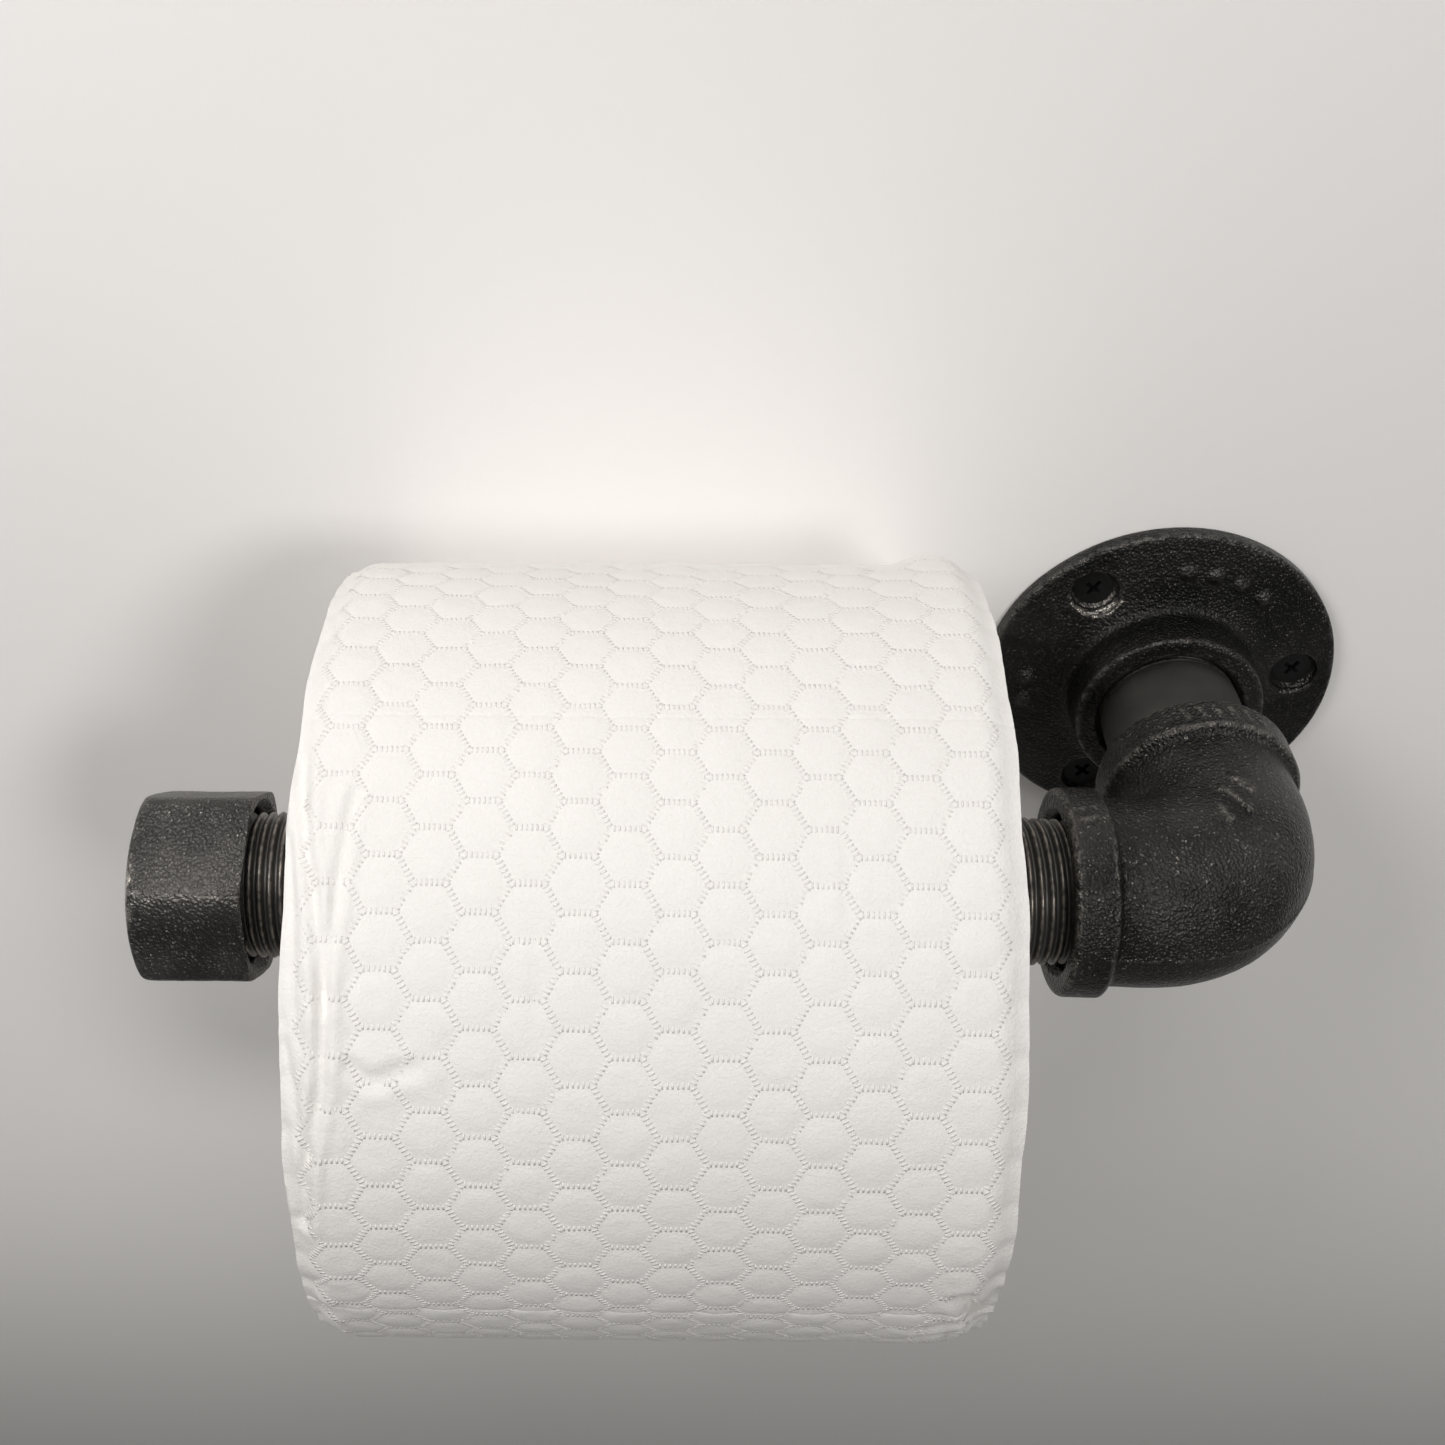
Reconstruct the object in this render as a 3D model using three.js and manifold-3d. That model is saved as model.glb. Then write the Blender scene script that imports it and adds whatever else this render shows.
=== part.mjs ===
// A wall-mounted toilet paper holder put together from black iron pipe fittings.
//
// A round floor flange is screwed to the wall. A short standoff pipe comes straight out of it into a
// 90 degree elbow, and the arm pipe runs from the elbow along the wall to a hexagonal cap. The paper
// roll hangs on the arm by its cardboard core.
//
// Frame: millimetres. The origin is the centre of the flange's back face. The wall is the plane
// Y = 0 and the holder stands out towards -Y. +Z is up, and the arm runs towards -X.

import * as THREE from 'three';
import { mergeVertices } from 'three/addons/utils/BufferGeometryUtils.js';
import Module from 'manifold-3d';

const wasm = await Module();
wasm.setup();

// ---------------------------------------------------------------------------------------------
// Driving dimensions

const GAP = 0.3;                 // clearance between two pieces that touch on the real object
const RADIAL_STEPS = 32;         // facets round a fitting
const BEND_STEPS = 18;           // sections along the elbow's centre line
const FULL_TURN = Math.PI * 2;

// Three-quarter inch iron pipe
const PIPE_RADIUS = 13.35;
const PIPE_BORE_RADIUS = 10.45;
const PIPE_END_CHAMFER = 0.9;
const THREAD_DEPTH = 12.5;       // length of pipe that is screwed into a fitting
const SOCKET_RADIUS = PIPE_RADIUS + GAP;

// Wall flange
const FLANGE_RADIUS = 35.1;
const FLANGE_RIM = 3.0;          // thickness at the outer edge
const FLANGE_FACE = 4.4;         // thickness of the plate where it meets the hub
const HUB_RADIUS = 18.3;
const HUB_HEIGHT = 14.3;
const SCREW_CIRCLE_RADIUS = 27.1;
const SCREW_COUNT = 3;
const FIRST_SCREW_ANGLE = THREE.MathUtils.degToRad(125.7);
const SCREW_HOLE_RADIUS = 3.0;
const SINK_RADIUS = 4.6;         // countersink, at the flange's face
const SINK_LIP = 1.0;            // straight part of the countersink, above its cone
const SINK_SLOPE = 0.8;          // radius gained per millimetre up the cone

// Wall screws and the plugs that they bite in
const SCREW_HEAD_RADIUS = SINK_RADIUS - GAP;
const SCREW_SHANK_RADIUS = 2.2;
const SCREW_SUNK = 0.5;          // how far the head lies below the flange's face
const SCREW_BEHIND_WALL = 34;
const SCREW_TIP_LENGTH = 5;
const RECESS_WIDTH = 1.2;        // cross recess in the head
const RECESS_SPAN = 4.6;
const RECESS_DEPTH = 1.5;
const PLUG_LENGTH = 30;
const PLUG_RADIUS = 3.9;
const PLUG_COLLAR_RADIUS = 4.7;
const PLUG_COLLAR = 1.0;

// Elbow: its two axes cross at the arm's height above the wall
const ARM_FROM_WALL = 64.0;
const ELBOW_FACE = 32.0;         // from the crossing point to the end of each leg
const ELBOW_BEND = 15.5;         // radius of the bend's centre line
const ELBOW_RADIUS = 16.6;
const BAND_RADIUS = 18.2;
const BAND_WIDTH = 7.4;
const BAND_ROUND = 1.0;

// Hexagonal cap on the arm's free end
const CAP_INNER_X = -171.0;
const CAP_LENGTH = 20.6;
const CAP_FLATS = 31.6;          // across the flats
const CAP_WALL = 6.0;            // thickness of the closed end
const CAP_CORNER_ANGLE = THREE.MathUtils.degToRad(37);  // first corner, up from the -Y side

// Paper roll and its cardboard core
const ROLL_LEFT_X = -154.9;
const ROLL_LENGTH = 105.7;
const ROLL_RADIUS = 65.2;
const LAST_TURN_RISE = 0.6;      // growth of the radius over the outermost turn
const TAIL_ANGLE = THREE.MathUtils.degToRad(58);        // where the loose end lies, from +Y up
const CORE_BORE_RADIUS = 23.3;
const CORE_WALL = 1.0;
const ROLL_LEAN = THREE.MathUtils.degToRad(25);         // the core's contact point on the arm

// ---------------------------------------------------------------------------------------------
// Places worked out from the driving dimensions

const armEndX = CAP_INNER_X - THREAD_DEPTH;
const coreHang = CORE_BORE_RADIUS - PIPE_RADIUS - GAP;
const rollY = -ARM_FROM_WALL - coreHang * Math.sin(ROLL_LEAN);
const rollZ = -coreHang * Math.cos(ROLL_LEAN);

// ---------------------------------------------------------------------------------------------
// Materials

const finish = (color, roughness, metalness) =>
  new THREE.MeshStandardMaterial({ color, roughness, metalness });

const castIron = () => finish(0x232322, 0.55, 0.6);
const pipeIron = () => finish(0x2e2d2c, 0.42, 0.7);
const blackScrew = () => finish(0x1b1b1b, 0.5, 0.6);
const nylon = () => finish(0xb9b6ad, 0.6, 0);
const cardboard = () => finish(0xa98f6c, 0.9, 0);
const tissue = () => finish(0xf4f0ea, 0.95, 0);

// ---------------------------------------------------------------------------------------------
// Helpers

/** Only the positions, with shared vertices merged and every face pointing outwards. */
function closed(geometry) {
  const bare = geometry.clone();
  bare.deleteAttribute('normal');
  bare.deleteAttribute('uv');
  const merged = mergeVertices(bare, 1e-4);
  const index = [...merged.index.array];
  const kept = [];
  for (let i = 0; i < index.length; i += 3) {
    const [a, b, c] = index.slice(i, i + 3);
    if (a !== b && b !== c && c !== a) kept.push(a, b, c);
  }
  if (signedVolume(merged.attributes.position, kept) < 0) kept.reverse();
  merged.setIndex(kept);
  return merged;
}

function signedVolume(position, index) {
  const corners = [new THREE.Vector3(), new THREE.Vector3(), new THREE.Vector3()];
  let total = 0;
  for (let i = 0; i < index.length; i += 3) {
    corners.forEach((corner, k) => corner.fromBufferAttribute(position, index[i + k]));
    total += corners[0].dot(corners[1].cross(corners[2]));
  }
  return total / 6;
}

function toSolid(geometry) {
  const source = closed(geometry);
  const vertProperties = new Float32Array(source.attributes.position.array);
  const triVerts = new Uint32Array(source.index.array);
  return new wasm.Manifold(new wasm.Mesh({ numProp: 3, vertProperties, triVerts }));
}

function toGeometry(solid) {
  const { vertProperties, triVerts } = solid.getMesh();
  const geometry = new THREE.BufferGeometry();
  geometry.setAttribute('position', new THREE.BufferAttribute(vertProperties, 3));
  geometry.setIndex(new THREE.BufferAttribute(triVerts, 1));
  return geometry;
}

/** A body of revolution about the Y axis, from [radius, y] pairs. */
function turned(profile, steps = RADIAL_STEPS) {
  const points = profile.map(([radius, y]) => new THREE.Vector2(radius, y));
  return closed(new THREE.LatheGeometry(points, steps));
}

/** The same with the profile closed on itself, for a ring or a tube. */
function turnedRing(profile, steps = RADIAL_STEPS) {
  return turned([...profile, profile[0]], steps);
}

/** Turns a body made along Y so that its +Y end points along -X. */
const alongArm = (geometry) => geometry.rotateZ(Math.PI / 2);

/** Turns a body made along Y so that its +Y end points out of the wall, along -Y. */
const outOfWall = (geometry) => geometry.rotateX(Math.PI);

const parts = new THREE.Group();

function addPart(name, geometry, material, place = [0, 0, 0]) {
  const mesh = new THREE.Mesh(geometry, material);
  mesh.name = name;
  mesh.position.set(...place);
  parts.add(mesh);
}

/** Where each screw goes through the flange, as [x, z]. */
function screwPlaces() {
  return Array.from({ length: SCREW_COUNT }, (_, i) => {
    const angle = FIRST_SCREW_ANGLE - (i * FULL_TURN) / SCREW_COUNT;
    return [SCREW_CIRCLE_RADIUS * Math.cos(angle), SCREW_CIRCLE_RADIUS * Math.sin(angle)];
  });
}

// ---------------------------------------------------------------------------------------------
// Wall flange, screws and plugs

/** The plate's thickness where the screw circle is, on the slope from the rim up to the hub. */
function faceAtScrews() {
  const slope = (FLANGE_FACE - FLANGE_RIM) / (FLANGE_RADIUS - HUB_RADIUS);
  return FLANGE_RIM + slope * (FLANGE_RADIUS - SCREW_CIRCLE_RADIUS);
}

function wallFlange() {
  const edge = 0.6;
  const fillet = 2.2;
  const body = outOfWall(turnedRing([
    [SOCKET_RADIUS, 0],
    [FLANGE_RADIUS - edge, 0],
    [FLANGE_RADIUS, edge],
    [FLANGE_RADIUS, FLANGE_RIM - edge],
    [FLANGE_RADIUS - edge, FLANGE_RIM],
    [HUB_RADIUS + fillet, FLANGE_FACE],
    [HUB_RADIUS + fillet * 0.3, FLANGE_FACE + fillet * 0.3],
    [HUB_RADIUS, FLANGE_FACE + fillet],
    [HUB_RADIUS, HUB_HEIGHT - edge],
    [HUB_RADIUS - edge, HUB_HEIGHT],
    [SOCKET_RADIUS + edge, HUB_HEIGHT],
    [SOCKET_RADIUS, HUB_HEIGHT - edge],
  ], 48));
  const face = faceAtScrews();
  const drill = turned([
    [0, -1],
    [SCREW_HOLE_RADIUS, -1],
    [SCREW_HOLE_RADIUS, face - SINK_LIP - (SINK_RADIUS - SCREW_HOLE_RADIUS) / SINK_SLOPE],
    [SINK_RADIUS, face - SINK_LIP],
    [SINK_RADIUS, face + 1],
    [0, face + 1],
  ], 24);
  let solid = toSolid(body);
  for (const [x, z] of screwPlaces()) {
    solid = solid.subtract(toSolid(outOfWall(drill.clone()).translate(x, 0, z)));
  }
  return toGeometry(solid);
}

/** A countersunk wood screw with a cross recess. Its head lies just below the flange's face. */
function wallScrew() {
  const face = faceAtScrews() - SCREW_SUNK;
  const coneTop = faceAtScrews() - SINK_LIP + 0.1;
  const coneEnd = coneTop - (SCREW_HEAD_RADIUS - SCREW_SHANK_RADIUS) / SINK_SLOPE;
  const body = outOfWall(turned([
    [0, -SCREW_BEHIND_WALL],
    [SCREW_SHANK_RADIUS, SCREW_TIP_LENGTH - SCREW_BEHIND_WALL],
    [SCREW_SHANK_RADIUS, coneEnd],
    [SCREW_HEAD_RADIUS, coneTop],
    [SCREW_HEAD_RADIUS, face],
    [0, face],
  ], 24));
  let solid = toSolid(body);
  for (const turn of [0, Math.PI / 2]) {
    const blade = new THREE.BoxGeometry(RECESS_SPAN, RECESS_DEPTH * 2, RECESS_WIDTH);
    blade.rotateY(turn + Math.PI / 5).translate(0, -face, 0);
    solid = solid.subtract(toSolid(blade));
  }
  return toGeometry(solid);
}

/** A plain sleeve with a collar that lies against the back of the flange. */
function wallPlug() {
  const bore = SCREW_SHANK_RADIUS + GAP;
  return turnedRing([
    [bore, GAP],
    [PLUG_COLLAR_RADIUS, GAP],
    [PLUG_COLLAR_RADIUS, GAP + PLUG_COLLAR],
    [PLUG_RADIUS, GAP + PLUG_COLLAR],
    [PLUG_RADIUS, PLUG_LENGTH - 2],
    [PLUG_RADIUS - 0.8, PLUG_LENGTH],
    [bore, PLUG_LENGTH],
  ], 20);
}

// ---------------------------------------------------------------------------------------------
// Pipes

/** A pipe along +Y from start to end, with both ends chamfered. */
function pipe(start, end) {
  return turnedRing([
    [PIPE_BORE_RADIUS, start],
    [PIPE_RADIUS - PIPE_END_CHAMFER, start],
    [PIPE_RADIUS, start + PIPE_END_CHAMFER],
    [PIPE_RADIUS, end - PIPE_END_CHAMFER],
    [PIPE_RADIUS - PIPE_END_CHAMFER, end],
    [PIPE_BORE_RADIUS, end],
  ]);
}

function standoffPipe() {
  const start = 1.0;
  const end = ARM_FROM_WALL - ELBOW_FACE + THREAD_DEPTH;
  return outOfWall(pipe(start, end));
}

function armPipe() {
  const start = ELBOW_FACE - THREAD_DEPTH;
  return alongArm(pipe(start, -armEndX));
}

// ---------------------------------------------------------------------------------------------
// Elbow

/** Straight, quarter bend, straight: the centre line of the elbow, relative to where its axes cross. */
class ElbowLine extends THREE.Curve {
  constructor(reach) {
    super();
    this.straight = reach - ELBOW_BEND;
    this.bend = (ELBOW_BEND * Math.PI) / 2;
  }

  getPoint(t, target = new THREE.Vector3()) {
    const along = t * (2 * this.straight + this.bend);
    if (along < this.straight) return target.set(-ELBOW_BEND - this.straight + along, 0, 0);
    const past = along - this.straight;
    if (past > this.bend) return target.set(0, ELBOW_BEND + past - this.bend, 0);
    const angle = past / ELBOW_BEND;
    return target.set(ELBOW_BEND * (Math.sin(angle) - 1), ELBOW_BEND * (1 - Math.cos(angle)), 0);
  }
}

function bentBar(radius, reach) {
  const circle = new THREE.Shape().absarc(0, 0, radius, 0, FULL_TURN, false);
  return new THREE.ExtrudeGeometry(circle, {
    curveSegments: RADIAL_STEPS,
    steps: BEND_STEPS,
    extrudePath: new ElbowLine(reach),
  });
}

/** The raised band round the mouth of one leg, along +Y. */
function mouthBand() {
  const inner = ELBOW_FACE - BAND_WIDTH;
  return turned([
    [0, inner - 1.4],
    [ELBOW_RADIUS - 0.2, inner - 1.4],
    [BAND_RADIUS - BAND_ROUND * 0.4, inner],
    [BAND_RADIUS, inner + BAND_ROUND],
    [BAND_RADIUS, ELBOW_FACE - BAND_ROUND],
    [BAND_RADIUS - BAND_ROUND * 0.3, ELBOW_FACE - BAND_ROUND * 0.3],
    [BAND_RADIUS - BAND_ROUND, ELBOW_FACE],
    [0, ELBOW_FACE],
  ]);
}

/** The threaded mouth cut into one leg, along +Y, slightly deeper than the pipe goes. */
function socket() {
  const mouth = 0.9;
  return turned([
    [0, ELBOW_FACE - THREAD_DEPTH - GAP],
    [SOCKET_RADIUS, ELBOW_FACE - THREAD_DEPTH - GAP],
    [SOCKET_RADIUS, ELBOW_FACE - mouth],
    [SOCKET_RADIUS + mouth, ELBOW_FACE],
    [SOCKET_RADIUS + mouth, ELBOW_FACE + 1],
    [0, ELBOW_FACE + 1],
  ]);
}

function elbow() {
  let solid = toSolid(bentBar(ELBOW_RADIUS, ELBOW_FACE - 1));
  solid = solid.add(toSolid(mouthBand())).add(toSolid(alongArm(mouthBand())));
  solid = solid.subtract(toSolid(bentBar(PIPE_BORE_RADIUS, ELBOW_FACE - 3)));
  solid = solid.subtract(toSolid(socket())).subtract(toSolid(alongArm(socket())));
  return toGeometry(solid);
}

// ---------------------------------------------------------------------------------------------
// Hexagonal cap

function endCap() {
  const circumradius = CAP_FLATS / Math.sqrt(3);
  const corner = CAP_FLATS / 2;
  const bevel = 2.6;
  const hexagon = closed(new THREE.CylinderGeometry(circumradius, circumradius, CAP_LENGTH, 6));
  hexagon.translate(0, CAP_LENGTH / 2, 0);
  const rounding = turned([
    [0, -1],
    [circumradius + 1, -1],
    [circumradius + 1, CAP_LENGTH - bevel - 1],
    [circumradius - 0.2, CAP_LENGTH - bevel],
    [corner, CAP_LENGTH - 0.8],
    [corner - 1.6, CAP_LENGTH + 0.01],
    [0, CAP_LENGTH + 0.01],
  ], 48);
  const bore = turned([
    [0, -1],
    [SOCKET_RADIUS, -1],
    [SOCKET_RADIUS, CAP_LENGTH - CAP_WALL],
    [0, CAP_LENGTH - CAP_WALL],
  ]);
  const solid = toSolid(hexagon).intersect(toSolid(rounding)).subtract(toSolid(bore));
  const cap = toGeometry(solid);
  alongArm(cap);
  // CylinderGeometry puts its first corner on +Z. About +X a corner goes from there towards -Y.
  return cap.rotateX(Math.PI / 2 - CAP_CORNER_ANGLE);
}

// ---------------------------------------------------------------------------------------------
// Paper roll

function rollCore() {
  const outer = CORE_BORE_RADIUS + CORE_WALL;
  return alongArm(turnedRing([
    [CORE_BORE_RADIUS, 0],
    [outer, 0],
    [outer, ROLL_LENGTH],
    [CORE_BORE_RADIUS, ROLL_LENGTH],
  ], 48));
}

/** The wound paper. The loose end comes over the front and ends at the top, in one small step. */
function paperRoll() {
  const steps = 84;
  const outline = [];
  for (let i = 0; i <= steps; i += 1) {
    const turn = i / steps;
    const angle = TAIL_ANGLE + turn * FULL_TURN;
    const radius = ROLL_RADIUS + (1 - turn) * LAST_TURN_RISE;
    outline.push(new THREE.Vector2(radius * Math.cos(angle), radius * Math.sin(angle)));
  }
  const shape = new THREE.Shape(outline);
  const boreRadius = CORE_BORE_RADIUS + CORE_WALL + GAP;
  shape.holes.push(new THREE.Path().absarc(0, 0, boreRadius, 0, FULL_TURN, true));
  const roll = new THREE.ExtrudeGeometry(shape, {
    depth: ROLL_LENGTH,
    bevelEnabled: false,
    curveSegments: 48,
  });
  // The outline is drawn in X and Y and pushed along Z. This turn takes X to Y, Y to Z and Z to X.
  roll.applyMatrix4(new THREE.Matrix4().makeBasis(
    new THREE.Vector3(0, 1, 0),
    new THREE.Vector3(0, 0, 1),
    new THREE.Vector3(1, 0, 0),
  ));
  return closed(roll);
}

// ---------------------------------------------------------------------------------------------
// Assembly

addPart('wall_flange', wallFlange(), castIron());
screwPlaces().forEach(([x, z], i) => {
  addPart(`wall_screw_${i + 1}`, wallScrew(), blackScrew(), [x, 0, z]);
  addPart(`wall_plug_${i + 1}`, wallPlug(), nylon(), [x, 0, z]);
});
addPart('standoff_pipe', standoffPipe(), pipeIron());
addPart('elbow', elbow(), castIron(), [0, -ARM_FROM_WALL, 0]);
addPart('arm_pipe', armPipe(), pipeIron(), [0, -ARM_FROM_WALL, 0]);
addPart('end_cap', endCap(), castIron(), [CAP_INNER_X, -ARM_FROM_WALL, 0]);
addPart('roll_core', rollCore(), cardboard(), [ROLL_LEFT_X + ROLL_LENGTH, rollY, rollZ]);
addPart('paper_roll', paperRoll(), tissue(), [ROLL_LEFT_X, rollY, rollZ]);

export default parts;
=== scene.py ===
"""The finished looks of a toilet paper holder made of black iron pipe fittings.

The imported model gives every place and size. Each sub-assembly below is a class that reads its own
nodes' boxes, builds the fine meshes that stand for them and dresses them. Shapes are worked out in
millimetres and turned into metres when a mesh is made.
"""

import logging
import math
from dataclasses import dataclass, field, replace
from enum import Enum
from typing import Callable, Optional, Sequence

import bmesh
import bpy
import numpy as np
from mathutils import Matrix, Vector, noise


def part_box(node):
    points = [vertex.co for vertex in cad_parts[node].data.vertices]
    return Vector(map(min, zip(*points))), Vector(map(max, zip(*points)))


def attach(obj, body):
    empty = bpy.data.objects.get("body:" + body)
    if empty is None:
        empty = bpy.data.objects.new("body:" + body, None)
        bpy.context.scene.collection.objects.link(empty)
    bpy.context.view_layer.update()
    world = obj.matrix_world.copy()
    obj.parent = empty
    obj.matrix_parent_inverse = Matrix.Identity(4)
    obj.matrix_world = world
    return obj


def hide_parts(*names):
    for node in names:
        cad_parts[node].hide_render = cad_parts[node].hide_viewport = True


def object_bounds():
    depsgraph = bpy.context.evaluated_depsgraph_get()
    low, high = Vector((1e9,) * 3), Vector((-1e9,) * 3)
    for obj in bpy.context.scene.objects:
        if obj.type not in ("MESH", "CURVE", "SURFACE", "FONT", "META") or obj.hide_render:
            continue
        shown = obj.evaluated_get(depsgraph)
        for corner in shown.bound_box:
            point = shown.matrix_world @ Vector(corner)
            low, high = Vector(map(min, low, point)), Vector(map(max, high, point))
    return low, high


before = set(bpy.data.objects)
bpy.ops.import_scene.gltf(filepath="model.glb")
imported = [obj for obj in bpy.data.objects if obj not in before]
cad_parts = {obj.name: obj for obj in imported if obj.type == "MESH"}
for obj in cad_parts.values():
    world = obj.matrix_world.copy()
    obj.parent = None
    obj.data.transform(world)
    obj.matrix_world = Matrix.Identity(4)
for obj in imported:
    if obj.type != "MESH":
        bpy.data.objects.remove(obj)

MM = 0.001
TURN = 2.0 * math.pi
CAD_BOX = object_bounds()
LOG = logging.getLogger("holder")

THREAD_ROOM = 0.25
"""Room round a pipe's thread inside a fitting, in mm."""

PIPE_WALL = 2.9
"""Thickness of a pipe's wall, in mm."""

CASTING_FACETS = 256
"""Facets round the flange and the elbow."""


class Body(Enum):
    """The moving bodies of the holder."""

    HOLDER = "holder"
    CAP = "cap"
    CORE = "core"
    ROLL = "roll"


class Slot(Enum):
    """The record's material slots."""

    CAST_IRON = "cast_iron_black"
    PIPE = "pipe_black"
    SCREW = "screw_black"
    PLUG = "plug_nylon"
    BOARD = "core_board"
    TISSUE = "tissue_paper"


# ---------------------------------------------------------------------------------------------
# Places read from the frame


@dataclass(frozen=True)
class NodeBox:
    """A node's box at rest, in millimetres.

    Args:
        low: its lowest corner.
        high: its highest corner.
    """

    low: np.ndarray
    high: np.ndarray

    @classmethod
    def of(cls, node: str) -> "NodeBox":
        """Returns the box of the node with that name."""
        low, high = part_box(node)
        return cls(np.array(low) / MM, np.array(high) / MM)

    @property
    def middle(self) -> np.ndarray:
        """The centre of the box."""
        return (self.low + self.high) / 2

    @property
    def size(self) -> np.ndarray:
        """The three sides of the box."""
        return self.high - self.low


@dataclass(frozen=True)
class Axis:
    """A line that a piece is turned about, in millimetres.

    Args:
        start: where the piece's own length starts.
        along: unit direction of the length.
        up: unit direction of angle 0.
        side: unit direction of a quarter turn.
    """

    start: np.ndarray
    along: np.ndarray
    up: np.ndarray
    side: np.ndarray

    def place(self, length: np.ndarray, radius: np.ndarray, angle: np.ndarray) -> np.ndarray:
        """Turns lengths, radii and angles into points.

        Returns:
            An array of points with one more dimension than the arguments.
        """
        radial = np.cos(angle)[..., None] * self.up + np.sin(angle)[..., None] * self.side
        return self.start + length[..., None] * self.along + radius[..., None] * radial


def axis_from(start: Sequence[float], along: Sequence[float], up: Sequence[float]) -> Axis:
    """Returns the axis with a side direction square to the two that are given."""
    a, u = np.array(along, float), np.array(up, float)
    return Axis(np.array(start, float), a, u, np.cross(a, u))


# ---------------------------------------------------------------------------------------------
# Mesh making


def smoothstep(low: float, high: float, value: np.ndarray) -> np.ndarray:
    """Returns 0 below low, 1 above high and a smooth climb between them."""
    t = np.clip((value - low) / (high - low), 0.0, 1.0)
    return t * t * (3.0 - 2.0 * t)


def field_noise(points: np.ndarray, size: float, seed: float = 0.0) -> np.ndarray:
    """Returns smooth noise from -1 to 1 at each point, with lumps of about that size in mm."""
    flat = points.reshape(-1, points.shape[-1]) / size + seed
    if flat.shape[1] == 2:
        flat = np.column_stack([flat, np.full(len(flat), seed)])
    values = np.fromiter((noise.noise(p) for p in flat.tolist()), float, len(flat))
    return values.reshape(points.shape[:-1])


def rounded_profile(
    corners: Sequence[tuple[float, float, float]], step: float = 0.8, loop: bool = False
) -> np.ndarray:
    """Rounds the corners of an outline and divides its straight stretches.

    Args:
        corners: (length, radius, rounding) at each corner, in mm.
        step: the longest piece that a straight stretch is left in.
        loop: whether the outline closes on itself.

    Returns:
        An array of (length, radius) rows.
    """
    points = np.array([c[:2] for c in corners], float)
    count = len(points)
    path: list[np.ndarray] = []
    for i, (corner, (_, _, rounding)) in enumerate(zip(points, corners)):
        if rounding == 0 or (not loop and i in (0, count - 1)):
            path.append(corner)
            continue
        before, after = points[i - 1] - corner, points[(i + 1) % count] - corner
        reach = min(rounding, 0.49 * np.linalg.norm(before), 0.49 * np.linalg.norm(after))
        first = corner + before / np.linalg.norm(before) * reach
        last = corner + after / np.linalg.norm(after) * reach
        for t in np.linspace(0.0, 1.0, 6):
            path.append((1 - t) ** 2 * first + 2 * t * (1 - t) * corner + t * t * last)
    if loop:
        path.append(path[0])
    outline = [path[0]]
    for here, there in zip(path[:-1], path[1:]):
        pieces = max(1, math.ceil(np.linalg.norm(there - here) / step))
        outline += [here + (there - here) * k / pieces for k in range(1, pieces + 1)]
    return np.array(outline[:-1] if loop else outline)


def grid_faces(rows: int, columns: int, rows_close: bool, start: int = 0) -> np.ndarray:
    """Returns the quads of a grid whose columns close on themselves."""
    r, c = np.meshgrid(np.arange(rows if rows_close else rows - 1), np.arange(columns), indexing="ij")
    r1, c1 = (r + 1) % rows, (c + 1) % columns
    corners = [r * columns + c, r * columns + c1, r1 * columns + c1, r1 * columns + c]
    return start + np.stack(corners, -1).reshape(-1, 4)


def make_object(name: str, points: np.ndarray, faces: np.ndarray, crease: float = 40.0) -> bpy.types.Object:
    """Makes a closed, smooth-shaded object from points in millimetres.

    Args:
        name: the object's name.
        points: rows of x, y and z.
        faces: rows of vertex numbers.
        crease: edges sharper than this many degrees stay sharp.

    Returns:
        The object, at the origin, with its faces pointing out.
    """
    mesh = bpy.data.meshes.new(name)
    mesh.from_pydata((points.reshape(-1, 3) * MM).tolist(), [], faces.tolist())
    shell = bmesh.new()
    shell.from_mesh(mesh)
    bmesh.ops.remove_doubles(shell, verts=shell.verts, dist=1e-7)
    if shell.calc_volume(signed=True) < 0:
        bmesh.ops.reverse_faces(shell, faces=shell.faces)
    shell.to_mesh(mesh)
    shell.free()
    return show(name, mesh, crease)


def show(name: str, mesh: bpy.types.Mesh, crease: float = 40.0) -> bpy.types.Object:
    """Returns a new object for the mesh, smooth where its edges are blunter than the crease."""
    mesh.shade_smooth()
    mesh.set_sharp_from_angle(angle=math.radians(crease))
    piece = bpy.data.objects.new(name, mesh)
    bpy.context.scene.collection.objects.link(piece)
    return piece


def turned(
    name: str,
    axis: Axis,
    profile: np.ndarray,
    columns: int,
    loop: bool,
    radius_at: Optional[Callable[[np.ndarray, np.ndarray, np.ndarray], np.ndarray]] = None,
) -> bpy.types.Object:
    """Turns a profile about an axis.

    Args:
        name: the object's name.
        axis: what it is turned about.
        profile: rows of (length, radius).
        columns: the number of facets round it.
        loop: whether the profile closes on itself, rather than starting and ending on the axis.
        radius_at: changes the radius, given the length, radius and angle.
    """
    angles = np.linspace(0.0, TURN, columns, endpoint=False)
    length, angle = np.meshgrid(profile[:, 0], angles, indexing="ij")
    radius = np.broadcast_to(profile[:, 1:2], length.shape)
    if radius_at:
        radius = radius_at(length, radius, angle)
    points = axis.place(length, radius, angle)
    return make_object(name, points, grid_faces(len(profile), columns, loop))


SPREAD_GAIN = 2.2
"""Makes up for the strength that wear loses where it is spread over the edges."""

BLUNT_BEND, SHARP_BEND = 0.25, 0.95
"""Bends, in radians per mm, where wear starts and where it is full."""


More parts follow.
